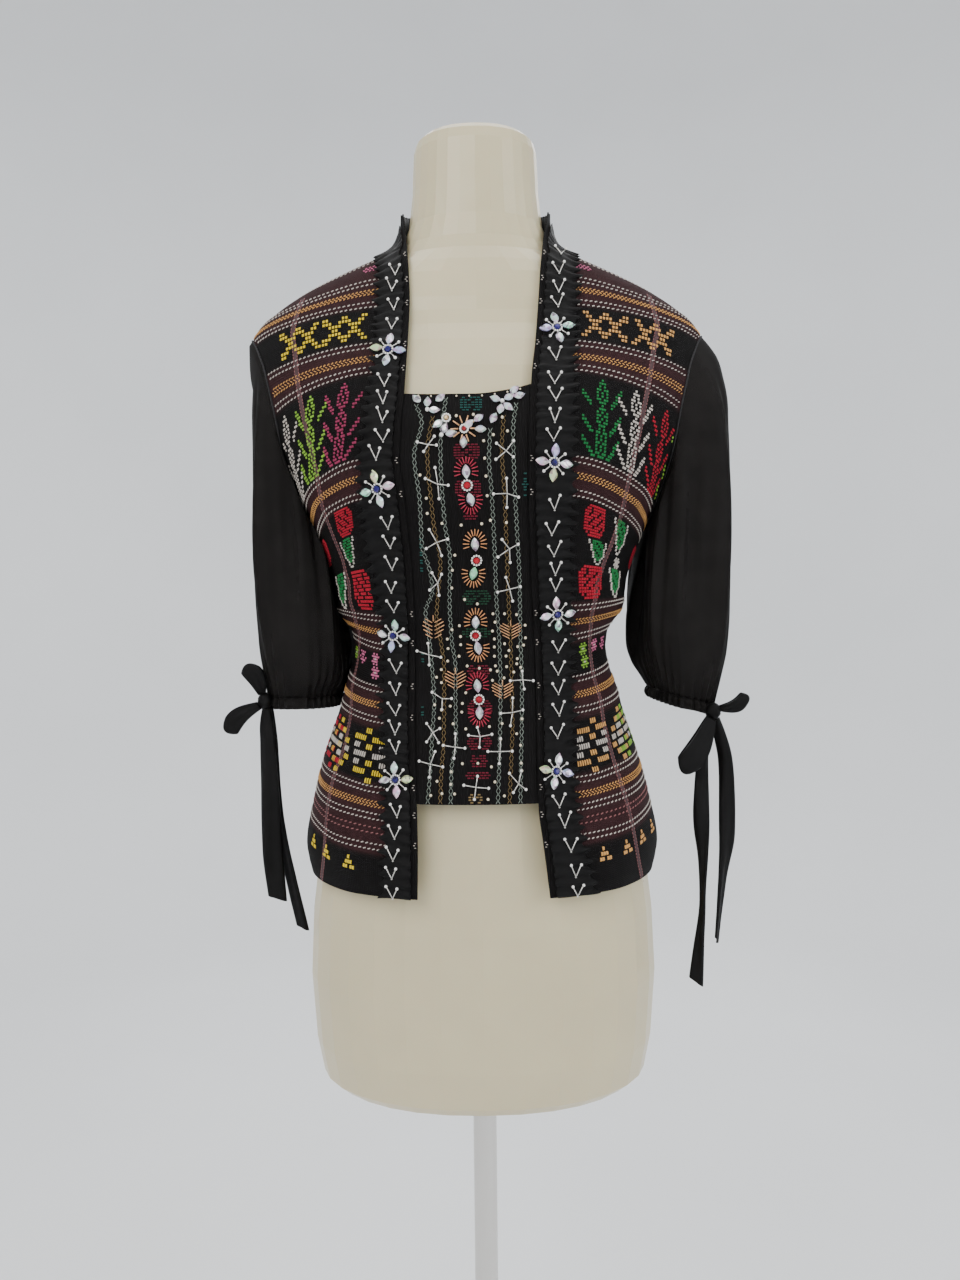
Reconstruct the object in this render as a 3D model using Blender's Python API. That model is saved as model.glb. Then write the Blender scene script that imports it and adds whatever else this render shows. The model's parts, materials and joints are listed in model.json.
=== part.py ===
"""A kebaya blouse on a limbless dress form with a pole stand.

Metres, +Z up, the front faces -Y, and the origin is under the middle of the stand's base plate.
Left and right are the viewer's, so left is -X. The blouse's trunk and its standing collar are one
lofted cloth surface, given by TRUNK; every panel, ribbon and stone is cut from it or laid on it.
"""

import math
from collections import namedtuple

import bmesh
import bpy
import numpy as np
from mathutils import Vector
from mathutils.bvhtree import BVHTree

# Driving sizes
HEM_Z = 0.856
UNDERARM_Z = 1.165
SHOULDER_TIP_Z = 1.337
NECK_SIDE_Z = 1.406
COLLAR_SIDE_Z = 1.452
COLLAR_NAPE_Z = 1.472
NAPE_Z = 1.429
PANEL_BOTTOM_Z = 0.9325
PANEL_TOP_Z = 1.268

WOVEN_WALL = 0.0016
PANEL_WALL = 0.0013
RIBBON_WALL = 0.0012
SLEEVE_WALL = 0.0010
CUFF_WALL = 0.0014
SEAM_GAP = 0.0003
ARMHOLE_GAP = 0.0008
RIBBON_GAP = 0.0006

# The woven edge that shows past the ribbon's inner side
WOVEN_STRIP = 0.005
# How square the trunk's sections are: 2 is an ellipse
FRONT_ROUND = 2.2
BACK_ROUND = 2.3

# Outer face of the cloth, by height
Trunk = namedtuple("Trunk", "z half_width front back")
TRUNK = (
    Trunk(0.856, 0.157, 0.127, 0.128),
    Trunk(0.880, 0.162, 0.127, 0.129),
    Trunk(0.925, 0.153, 0.121, 0.123),
    Trunk(0.965, 0.141, 0.113, 0.110),
    Trunk(1.000, 0.130, 0.107, 0.097),
    Trunk(1.040, 0.118, 0.102, 0.087),
    Trunk(1.060, 0.1155, 0.102, 0.084),
    Trunk(1.074, 0.1175, 0.103, 0.084),
    Trunk(1.088, 0.1260, 0.107, 0.087),
    Trunk(1.105, 0.1310, 0.111, 0.089),
    Trunk(1.130, 0.138, 0.118, 0.092),
    Trunk(1.165, 0.150, 0.129, 0.098),
    Trunk(1.200, 0.168, 0.137, 0.103),
    Trunk(1.235, 0.184, 0.136, 0.108),
    Trunk(1.270, 0.196, 0.124, 0.112),
    Trunk(1.305, 0.2035, 0.107, 0.109),
    Trunk(1.332, 0.2045, 0.092, 0.100),
    Trunk(1.345, 0.1980, 0.086, 0.096),
    Trunk(1.358, 0.1830, 0.0815, 0.0925),
    Trunk(1.370, 0.1650, 0.0775, 0.0895),
    Trunk(1.382, 0.1420, 0.0735, 0.0865),
    Trunk(1.394, 0.1150, 0.0695, 0.0835),
    Trunk(1.406, 0.0860, 0.0650, 0.0800),
    Trunk(1.416, 0.0755, 0.0620, 0.0770),
    Trunk(1.430, 0.0690, 0.0595, 0.0730),
    Trunk(1.445, 0.0670, 0.0585, 0.0710),
    Trunk(1.475, 0.0660, 0.0585, 0.0700),
)

# Front opening: where the woven cloth ends and where the ribbon ends, measured from the centre line
Edge = namedtuple("Edge", "z inner outer")
EDGE_LEFT = (
    Edge(0.856, 0.0532, 0.0819),
    Edge(0.896, 0.0527, 0.0804),
    Edge(0.930, 0.0534, 0.0805),
    Edge(0.983, 0.0548, 0.0811),
    Edge(1.033, 0.0547, 0.0816),
    Edge(1.084, 0.0542, 0.0813),
    Edge(1.117, 0.0548, 0.0858),
    Edge(1.156, 0.0574, 0.0922),
    Edge(1.185, 0.0596, 0.0946),
    Edge(1.212, 0.0625, 0.0945),
    Edge(1.241, 0.0608, 0.0895),
    Edge(1.267, 0.0585, 0.0868),
    Edge(1.291, 0.0574, 0.0841),
    Edge(1.318, 0.0564, 0.0836),
    Edge(1.350, 0.0559, 0.0832),
    Edge(1.376, 0.0570, 0.0830),
    Edge(1.406, 0.0600, 0.0860),
    Edge(1.452, 0.0667, 0.0860),
)
EDGE_RIGHT = (
    Edge(0.856, 0.0552, 0.0930),
    Edge(0.883, 0.0522, 0.0865),
    Edge(0.904, 0.0496, 0.0822),
    Edge(0.928, 0.0468, 0.0785),
    Edge(0.967, 0.0464, 0.0767),
    Edge(1.016, 0.0465, 0.0770),
    Edge(1.066, 0.0454, 0.0770),
    Edge(1.107, 0.0430, 0.0750),
    Edge(1.147, 0.0414, 0.0744),
    Edge(1.186, 0.0399, 0.0756),
    Edge(1.217, 0.0401, 0.0758),
    Edge(1.257, 0.0420, 0.0773),
    Edge(1.283, 0.0440, 0.0788),
    Edge(1.311, 0.0478, 0.0809),
    Edge(1.359, 0.0526, 0.0850),
    Edge(1.377, 0.0541, 0.0855),
    Edge(1.406, 0.0580, 0.0860),
    Edge(1.452, 0.0667, 0.0860),
)

# Armhole seam, by height: how far out it runs on the front and on the back
Armhole = namedtuple("Armhole", "z front back")
ARMHOLE = (
    Armhole(1.165, 0.1500, 0.1500),
    Armhole(1.180, 0.1530, 0.1550),
    Armhole(1.200, 0.1600, 0.1630),
    Armhole(1.225, 0.1670, 0.1720),
    Armhole(1.255, 0.1720, 0.1800),
    Armhole(1.280, 0.1780, 0.1860),
    Armhole(1.305, 0.1850, 0.1930),
    Armhole(1.325, 0.1945, 0.1985),
    Armhole(1.337, 0.2030, 0.2030),
)

# Heights of the panels' rows, from hem to underarm and from underarm to shoulder seam
LOW_LEVELS = (
    0.856, 0.880, 0.905, 0.9325, 0.965, 1.000, 1.035, 1.060, 1.074, 1.088, 1.105, 1.135, 1.165
)
Level = namedtuple("Level", "armhole outer inner")
HIGH_LEVELS = (
    Level(1.180, 1.202, 1.202),
    Level(1.200, 1.240, 1.240),
    Level(1.222, 1.271, 1.268),
    Level(1.246, 1.307, 1.308),
    Level(1.270, 1.337, 1.342),
    Level(1.292, 1.362, 1.371),
    Level(1.311, 1.382, 1.397),
    Level(1.325, 1.3955, 1.421),
    Level(1.334, 1.4035, 1.440),
    Level(1.337, 1.406, 1.452),
)

# Half of the back's columns: along the neckline, and along the shoulder seam
BACK_NECK = 3
BACK_SHOULDER = 5

# Soft folds of the trunk: a ridge on one side of the front or back
Fold = namedtuple("Fold", "x z length width rise slope")
FRONT_FOLDS = (
    Fold(0.112, 1.096, 0.040, 0.014, 0.0045, -8),
    Fold(-0.108, 1.100, 0.036, 0.014, 0.0040, 10),
    Fold(0.118, 1.150, 0.050, 0.017, 0.0035, 38),
    Fold(-0.116, 1.160, 0.052, 0.017, 0.0035, -42),
    Fold(0.120, 0.905, 0.060, 0.019, 0.0040, 78),
    Fold(-0.122, 0.910, 0.062, 0.019, 0.0045, -76),
    Fold(0.100, 1.010, 0.045, 0.015, 0.0028, 24),
    Fold(-0.100, 1.020, 0.045, 0.015, 0.0028, -20),
)
BACK_FOLDS = (
    Fold(0.060, 1.085, 0.060, 0.014, 0.0042, -14),
    Fold(-0.055, 1.100, 0.058, 0.014, 0.0045, 12),
    Fold(0.010, 1.060, 0.070, 0.013, 0.0035, 2),
    Fold(0.095, 0.900, 0.060, 0.020, 0.0050, 80),
    Fold(0.000, 0.895, 0.060, 0.022, 0.0045, 90),
    Fold(-0.095, 0.900, 0.060, 0.020, 0.0050, -80),
    Fold(0.118, 1.190, 0.055, 0.018, 0.0035, -50),
    Fold(-0.118, 1.190, 0.055, 0.018, 0.0035, 50),
)

# Ruched ribbon: gathers between two rows of a panel, and how far they stand out
GATHER_STEPS = 4
GATHER_RISE = namedtuple("GatherRise", "inner middle outer")(0.0010, 0.0006, 0.0017)
GATHER_SWAY = 0.0014
COLLAR_STEPS = 5

# Sleeve rings, from armhole to cuff: share of the way, middle, half width and half depth
Ring = namedtuple("Ring", "share middle half_width half_depth")
SLEEVE_RINGS_LEFT = (
    Ring(0.05, 0.1735, 0.0275, 0.065),
    Ring(0.12, 0.1721, 0.0301, 0.065),
    Ring(0.20, 0.1703, 0.0333, 0.065),
    Ring(0.32, 0.1671, 0.0371, 0.065),
    Ring(0.46, 0.1644, 0.0404, 0.064),
    Ring(0.60, 0.1619, 0.0429, 0.063),
    Ring(0.73, 0.1595, 0.0440, 0.061),
    Ring(0.84, 0.1583, 0.0433, 0.057),
    Ring(0.92, 0.1590, 0.0400, 0.050),
    Ring(0.97, 0.1615, 0.0355, 0.042),
    Ring(1.00, 0.1628, 0.0328, 0.036),
)
SLEEVE_RINGS_RIGHT = (
    Ring(0.05, 0.1910, 0.0410, 0.066),
    Ring(0.12, 0.1877, 0.0387, 0.066),
    Ring(0.20, 0.1869, 0.0394, 0.065),
    Ring(0.32, 0.1865, 0.0415, 0.064),
    Ring(0.46, 0.1856, 0.0431, 0.062),
    Ring(0.60, 0.1847, 0.0439, 0.060),
    Ring(0.73, 0.1840, 0.0438, 0.058),
    Ring(0.84, 0.1846, 0.0411, 0.054),
    Ring(0.92, 0.1850, 0.0355, 0.047),
    Ring(0.97, 0.1855, 0.0315, 0.039),
    Ring(1.00, 0.1860, 0.0290, 0.034),
)
# Share of the sleeve over which it leaves the armhole's outline
SLEEVE_LEAVES = 0.20
SLEEVE_ROUND = 2.5
SLEEVE_CLEARANCE = 0.0030
# Cuff heights on the outer side of the arm and on the side towards the trunk
Cuff = namedtuple("Cuff", "outer_z inner_z height")
CUFF_LEFT = Cuff(1.013, 1.014, 0.010)
CUFF_RIGHT = Cuff(1.001, 1.018, 0.010)
SLEEVE_FOLDS = 5
SLEEVE_FOLD_RISE = 0.0030
CUFF_GATHER_RISE = 0.0017
CUFF_ROLL = 0.0006

# Ribbon ties at the cuffs: width, thickness and the centre line of each stretch
TIE_WALL = 0.0012
LOOP_SIDES = 14
Stretch = namedtuple("Stretch", "x y z width turn")

# Dress form, a closed body from thigh to neck
FORM = (
    Trunk(0.668, 0.1500, 0.100, 0.104),
    Trunk(0.700, 0.1560, 0.106, 0.112),
    Trunk(0.760, 0.1600, 0.110, 0.120),
    Trunk(0.820, 0.1570, 0.112, 0.122),
    Trunk(0.870, 0.1510, 0.109, 0.119),
    Trunk(0.920, 0.1420, 0.103, 0.110),
    Trunk(0.970, 0.1270, 0.098, 0.096),
    Trunk(1.010, 0.1150, 0.0945, 0.085),
    Trunk(1.045, 0.1090, 0.0930, 0.079),
    Trunk(1.080, 0.1100, 0.0950, 0.077),
    Trunk(1.115, 0.1180, 0.1040, 0.081),
    Trunk(1.150, 0.1290, 0.1170, 0.087),
    Trunk(1.185, 0.1380, 0.1290, 0.094),
    Trunk(1.220, 0.1450, 0.1325, 0.101),
    Trunk(1.255, 0.1520, 0.1240, 0.106),
    Trunk(1.290, 0.1630, 0.1090, 0.106),
    Trunk(1.315, 0.1760, 0.0950, 0.100),
    Trunk(1.330, 0.1800, 0.0860, 0.094),
    Trunk(1.343, 0.1810, 0.0800, 0.0900),
    Trunk(1.355, 0.1740, 0.0770, 0.0870),
    Trunk(1.367, 0.1570, 0.0730, 0.0840),
    Trunk(1.379, 0.1340, 0.0690, 0.0810),
    Trunk(1.391, 0.1070, 0.0640, 0.0760),
    Trunk(1.403, 0.0790, 0.0580, 0.0700),
    Trunk(1.415, 0.0690, 0.0540, 0.0640),
    Trunk(1.435, 0.0610, 0.0505, 0.0560),
    Trunk(1.465, 0.0575, 0.0500, 0.0540),
    Trunk(1.485, 0.0567, 0.0500, 0.0530),
    Trunk(1.500, 0.0560, 0.0495, 0.0525),
    Trunk(1.509, 0.0535, 0.0470, 0.0500),
    Trunk(1.514, 0.0480, 0.0420, 0.0450),
    Trunk(1.5162, 0.0380, 0.0330, 0.0350),
)
FORM_SIDES = 32
FORM_BOTTOM_Z = 0.660
FORM_TOP_Z = 1.5170
FORM_CORNER = 0.010

# Stand
POLE_RADIUS = 0.011
FLANGE_RADIUS = 0.045
FLANGE_HEIGHT = 0.012
BASE_RADIUS = 0.170
BASE_HEIGHT = 0.010
HUB_RADIUS = 0.024
HUB_HEIGHT = 0.035
ROUND_SIDES = 32

# Stone flowers on the ribbons, and along the neckline of the centre panel
STONE_HEIGHT = 0.0030
STONE_EDGE = 0.0014
STONE_GAP = 0.0005
Sprig = namedtuple("Sprig", "x z size petals")
RIBBON_FLOWERS = {
    "left": (
        Sprig(-0.0717, 1.3021, 0.0155, 4),
        Sprig(-0.0795, 1.1896, 0.0155, 4),
        Sprig(-0.0712, 1.0708, 0.0155, 4),
        Sprig(-0.0700, 0.9513, 0.0155, 4),
    ),
    "right": (
        Sprig(0.0656, 1.3210, 0.0155, 4),
        Sprig(0.0592, 1.2071, 0.0155, 4),
        Sprig(0.0630, 1.0877, 0.0155, 4),
        Sprig(0.0608, 0.9573, 0.0155, 4),
    ),
}
NECKLINE_SPRIGS = (
    Sprig(-0.0395, 1.2555, 0.0110, 5),
    Sprig(-0.0277, 1.2332, 0.0085, 5),
    Sprig(-0.0073, 1.2328, 0.0108, 5),
    Sprig(0.0181, 1.2529, 0.0110, 5),
)


class Profile:
    """A smooth curve through a table's column that never overshoots its rows."""

    def __init__(self, rows, column, key="z"):
        self.at = [getattr(row, key) for row in rows]
        self.value = [getattr(row, column) for row in rows]
        steps = [b - a for a, b in zip(self.at, self.at[1:])]
        slopes = [(b - a) / h for a, b, h in zip(self.value, self.value[1:], steps)]
        tangents = [slopes[0]]
        for before, after in zip(slopes, slopes[1:]):
            together = before * after
            tangents.append(2 * together / (before + after) if together > 0 else 0.0)
        tangents.append(slopes[-1])
        self.tangent = tangents

    def __call__(self, where):
        where = min(max(where, self.at[0]), self.at[-1])
        i = 0
        while i < len(self.at) - 2 and where > self.at[i + 1]:
            i += 1
        step = self.at[i + 1] - self.at[i]
        u = (where - self.at[i]) / step
        start, end = self.value[i], self.value[i + 1]
        return (
            start * (1 + 2 * u) * (1 - u) ** 2
            + end * u * u * (3 - 2 * u)
            + step * self.tangent[i] * u * (1 - u) ** 2
            + step * self.tangent[i + 1] * u * u * (u - 1)
        )


TRUNK_WIDTH = Profile(TRUNK, "half_width")
TRUNK_FRONT = Profile(TRUNK, "front")
TRUNK_BACK = Profile(TRUNK, "back")
TRUNK_MIDDLE = np.array((0.0, 0.0, 1.1))


def fold_rise(x, z, folds):
    """How far the folds lift the cloth at a point."""
    rise = 0.0
    for fold in folds:
        angle = math.radians(fold.slope)
        dx, dz = x - fold.x, z - fold.z
        along = dx * math.cos(angle) + dz * math.sin(angle)
        across = -dx * math.sin(angle) + dz * math.cos(angle)
        rise += fold.rise * math.exp(-((along / fold.length) ** 2) - (across / fold.width) ** 2)
    return rise


def cloth_point(turn, z, side, back, lift=0.0):
    """The cloth's outer face at a height, turned from the centre line (0) to the side (90 degrees)."""
    power = 2 / (BACK_ROUND if back else FRONT_ROUND)
    sine, cosine = math.sin(turn), max(math.cos(turn), 0.0)
    width = TRUNK_WIDTH(z)
    x = side * width * sine**power
    depth = TRUNK_BACK(z) if back else TRUNK_FRONT(z)
    rise = lift + fold_rise(x, z, BACK_FOLDS if back else FRONT_FOLDS)
    x = side * (width + rise) * sine**power
    y = (depth + rise) * cosine**power
    return np.array((x, y if back else -y, z))


def turn_at(x, z, back):
    """The turn at which the cloth is x from the centre line."""
    share = min(x / TRUNK_WIDTH(z), 1.0)
    return math.asin(share ** ((BACK_ROUND if back else FRONT_ROUND) / 2))


def seam_turn(z, back):
    """The turn at the side or shoulder seam, held half a seam gap off the middle."""
    depth = TRUNK_BACK(z) if back else TRUNK_FRONT(z)
    share = (SEAM_GAP / 2 / depth) ** ((BACK_ROUND if back else FRONT_ROUND) / 2)
    return math.acos(share)


def blend(a, b, share):
    return a + (b - a) * share


def outer_line(back):
    """(turn, z) up the side seam and the armhole to the shoulder tip."""
    reach = Profile(ARMHOLE, "back" if back else "front")
    line = [(seam_turn(z, back), z) for z in LOW_LEVELS]
    for level in HIGH_LEVELS:
        turn = min(turn_at(reach(level.armhole), level.armhole, back), seam_turn(level.armhole, back))
        line.append((turn, level.armhole))
    line[-1] = (seam_turn(SHOULDER_TIP_Z, back), SHOULDER_TIP_Z)
    return line


def front_grid(side):
    """Points of a front panel's outer face: a row for each level, from its inner edge to the side."""
    edges = EDGE_LEFT if side < 0 else EDGE_RIGHT
    inner, outer = Profile(edges, "inner"), Profile(edges, "outer")
    rows = [(z, z) for z in LOW_LEVELS] + [(level.outer, level.inner) for level in HIGH_LEVELS]
    side_line = outer_line(False)
    side_columns = 6
    grid = []
    for (z_outer, z_inner), (turn_side, z_side) in zip(rows, side_line):
        turn_inner = turn_at(inner(z_inner), z_inner, False)
        turn_outer = turn_at(outer(z_outer), z_outer, False)
        if z_outer == NECK_SIDE_Z:
            turn_inner = seam_turn(z_inner, False)
            turn_outer = seam_turn(z_outer, False)
        band = (outer(z_outer) - inner(z_inner)) or 1.0
        strip = min(WOVEN_STRIP / max(abs(band), 0.020), 0.3)
        points = []
        for share in (0.0, strip, (1 + strip) / 2):
            turn = blend(turn_inner, turn_outer, share)
            points.append(cloth_point(turn, blend(z_inner, z_outer, share), side, False))
        for column in range(side_columns + 1):
            share = column / side_columns
            turn = blend(turn_outer, turn_side, share)
            points.append(cloth_point(turn, blend(z_outer, z_side, share), side, False))
        grid.append(points)
    return np.array(grid)


def back_grid():
    """Points of the back panel's outer face, from one side to the other."""
    neck_columns, columns = BACK_NECK, BACK_NECK + BACK_SHOULDER
    side_line = outer_line(True)
    rows = len(side_line)
    nape_levels = list(LOW_LEVELS)
    high = len(HIGH_LEVELS)
    nape_levels += [blend(UNDERARM_Z, NAPE_Z, (i + 1) / high) for i in range(high)]
    top = []
    for column in range(columns + 1):
        if column <= neck_columns:
            share = column / neck_columns
            z = NAPE_Z + (NECK_SIDE_Z - NAPE_Z) * share**2
            top.append((seam_turn(z, True) * share, z))
        else:
            z = blend(NECK_SIDE_Z, SHOULDER_TIP_Z, (column - neck_columns) / BACK_SHOULDER)
            top.append((seam_turn(z, True), z))
    half = []
    for row in range(rows):
        turn_side, z_side = side_line[row]
        pull = (row / (rows - 1)) ** 5
        points = []
        for column in range(columns + 1):
            share = column / columns
            turn = blend(0.0, turn_side, share)
            turn += pull * (top[column][0] - blend(top[0][0], top[-1][0], share))
            z = blend(nape_levels[row], z_side, share)
            z += pull * (top[column][1] - blend(top[0][1], top[-1][1], share))
            points.append((turn, z))
        half.append(points)
    grid = []
    for points in half:
        left = [cloth_point(turn, z, -1, True) for turn, z in reversed(points[1:])]
        grid.append(left + [cloth_point(turn, z, 1, True) for turn, z in points])
    return np.array(grid)


def grid_normals(grid):
    """Unit normals of a trunk grid, facing out; at a side or shoulder seam they keep to its plane."""
    normals = np.cross(np.gradient(grid, axis=1), np.gradient(grid, axis=0))
    normals[np.abs(grid[:, :, 1]) < SEAM_GAP, 1] = 0.0
    normals /= np.maximum(np.linalg.norm(normals, axis=2, keepdims=True), 1e-12)
    if ((grid - TRUNK_MIDDLE) * normals).sum() < 0:
        normals = -normals
    return normals


def moved_out(grid, distance):
    """A grid moved out along its normals, away from the trunk's axis."""
    return grid + grid_normals(grid) * distance


def new_object(name, points, faces, material, smooth=True):
    """A closed mesh object with its faces pointing out."""
    mesh = bpy.data.meshes.new(name)
    mesh.from_pydata([tuple(p) for p in points], [], faces)
    body = bmesh.new()
    body.from_mesh(mesh)
    bmesh.ops.triangulate(body, faces=body.faces)
    bmesh.ops.recalc_face_normals(body, faces=body.faces)
    if body.calc_volume(signed=True) < 0:
        bmesh.ops.reverse_faces(body, faces=body.faces)
    body.to_mesh(mesh)
    body.free()
    if smooth:
        mesh.shade_smooth()
        mesh.set_sharp_from_angle(angle=math.radians(50))
    mesh.materials.append(material)
    made = bpy.data.objects.new(name, mesh)
    bpy.context.scene.collection.objects.link(made)
    return made


def wall(name, outside, inside, material, tube=False):
    """A cloth wall between two grids of points; a tube joins each row's end to its start."""
    rows, columns = outside.shape[:2]
    count = rows * columns
    points = np.concatenate((outside.reshape(-1, 3), inside.reshape(-1, 3)))
    faces = []

    def at(row, column, layer):
        return layer * count + row * columns + column % columns

    across = columns if tube else columns - 1
    for row in range(rows - 1):
        for column in range(across):
            corners = ((row, column), (row, column + 1), (row + 1, column + 1), (row + 1, column))
            faces.append([at(r, c, 0) for r, c in corners])
            faces.append([at(r, c, 1) for r, c in reversed(corners)])
    for row in (0, rows - 1):
        for column in range(across):
            rim = [at(row, column, 0), at(row, column, 1), at(row, column + 1, 1), at(row, column + 1, 0)]
            faces.append(rim if row == 0 else rim[::-1])
    if not tube:
        for column in (0, columns - 1):
            for row in range(rows - 1):
                rim = [at(row, column, 0), at(row + 1, column, 0), at(row + 1, column, 1), at(row, column, 1)]
                faces.append(rim if column == 0 else rim[::-1])
    return new_object(name, points, faces, material)


def finer_rows(grid, steps):
    """A grid with each row interval cut into straight steps."""
    rows = [grid[0]]
    for first, second in zip(grid, grid[1:]):
        rows += [blend(first, second, (i + 1) / steps) for i in range(steps)]
    return np.array(rows)


def gathered(base, flat, cross):
    """The outer face of a ruched ribbon: every other row stands out, most at the free edge."""
    normals = grid_normals(base)
    raised = flat.copy()
    rises = np.array(GATHER_RISE)
    for row in range(1, len(raised) - 1):
        crest = row % 2
        swell = 0.75 + 0.25 * math.sin(row * 1.7)
        raised[row] += normals[row] * (rises * crest * swell)[:, None]
        raised[row, -1] += cross[row] * GATHER_SWAY * (crest - 0.5) * swell
    return raised


def front_pieces(side, cloth, satin):
    """A front panel, and the ruched ribbon that lies on its edge."""
    word = "left" if side < 0 else "right"
    grid = front_grid(side)
    wall(f"front_{word}", grid, moved_out(grid, -WOVEN_WALL), cloth)
    normals = grid_normals(grid)
    seat = finer_rows((grid + normals * RIBBON_GAP)[:, 1:4], GATHER_STEPS)
    out = finer_rows(normals[:, 1:4], GATHER_STEPS)
    cross = seat[:, -1] - seat[:, 0]
    cross /= np.linalg.norm(cross, axis=1, keepdims=True)
    top = gathered(seat, seat + out * RIBBON_WALL, cross)
    wall(f"ribbon_{word}", top, seat, satin)
    return grid, normals


def centre_panel(left, right, cloth):
    """The beaded panel in the front opening, made from the fronts' own points, moved in."""
    first = LOW_LEVELS.index(PANEL_BOTTOM_Z)
    last = len(LOW_LEVELS) + [level.inner for level in HIGH_LEVELS].index(PANEL_TOP_Z)
    depth = WOVEN_WALL + SEAM_GAP
    middle_columns = 6
    rows = []
    for row in range(first, last + 1):
        (left_grid, left_normals), (right_grid, right_normals) = left, right
        wing_left = [left_grid[row, c] - left_normals[row, c] * depth for c in (1, 0)]
        wing_right = [right_grid[row, c] - right_normals[row, c] * depth for c in (0, 1)]
        z = left_grid[row, 0][2]
        start, end = wing_left[-1][0], wing_right[0][0]
        points = list(wing_left)
        for column in range(1, middle_columns):
            x = blend(start, end, column / middle_columns)
            point = cloth_point(turn_at(abs(x), z, False), z, 1 if x > 0 else -1, False, -depth)
            point[0] = x
            points.append(point)
        rows.append(points + wing_right)
    outside = np.array(rows)
    wall("centre_panel", outside, moved_out(outside, -PANEL_WALL), cloth)


def collar(neckline, satin):
    """The ruched band that stands on the back's neckline, from shoulder to shoulder."""
    spans = len(neckline) - 1
    steps = spans * COLLAR_STEPS
    rows = []
    for step in range(steps + 1):
        share = 2 * step / steps - 1
        span = min(step // COLLAR_STEPS, spans - 1)
        low = blend(neckline[span], neckline[span + 1], step / COLLAR_STEPS - span)
        low = low + np.array((0.0, 0.0, SEAM_GAP))
        z_high = blend(COLLAR_SIDE_Z, COLLAR_NAPE_Z, 1 - share**2)
        turn = abs(share) * seam_turn(z_high, True)
        high = cloth_point(turn, z_high, -1 if share < 0 else 1, True)
        rows.append([high, blend(high, low, 0.5), low])
    seat = np.array(rows)
    out = grid_normals(seat) * (1.0, 1.0, 0.0)
    out /= np.linalg.norm(out, axis=2, keepdims=True)
    top = seat + out * RIBBON_WALL / 2
    for row in range(1, len(top) - 1):
        top[row] += out[row] * GATHER_RISE.inner * (row % 2)
    wall("collar", top, seat - out * RIBBON_WALL, satin)


def armhole_ring(side):
    """Points round an armhole, from the shoulder tip down the front and up the back, moved out."""
    first = len(LOW_LEVELS) - 1
    front = [cloth_point(turn, z, side, False) for turn, z in outer_line(False)[first:]]
    back = [cloth_point(turn, z, side, True) for turn, z in outer_line(True)[first:]]
    loop = front[::-1] + back[1:-1]
    points = []
    for here, after in zip(loop, loop[1:] + loop[:1]):
        points += [here, blend(here, after, 0.5)]
    ring = np.array(points)
    ring[:, 0] += side * ARMHOLE_GAP
    ring[:, 2] -= ARMHOLE_GAP / 4
    return ring


def clear_of_trunk(point, clearance):
    """A point moved straight out from the trunk's axis until it hangs clear of the trunk."""
    x, y, z = point
    power = BACK_ROUND if y > 0 else FRONT_ROUND
    rise = clearance + max(fold_rise(x, z, BACK_FOLDS if y > 0 else FRONT_FOLDS), 0.0)
    width = TRUNK_WIDTH(z) + rise
    depth = (TRUNK_BACK(z) if y > 0 else TRUNK_FRONT(z)) + rise
    share = ((abs(x) / width) ** power + (abs(y) / depth) ** power) ** (1 / power)
    return (x / share, y / share, z) if share < 1 else (x, y, z)


def tube_inside(outside, thickness):
    """A tube's inner face: each ring after the first moved in along its normals."""
    around = np.roll(outside, -1, axis=1) - np.roll(outside, 1, axis=1)
    normals = np.cross(around, np.gradient(outside, axis=0))
    normals /= np.linalg.norm(normals, axis=2, keepdims=True)
    axis = outside.mean(axis=1, keepdims=True)
    if ((outside - axis) * normals).sum() < 0:
        normals = -normals
    return outside - normals * thickness


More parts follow.
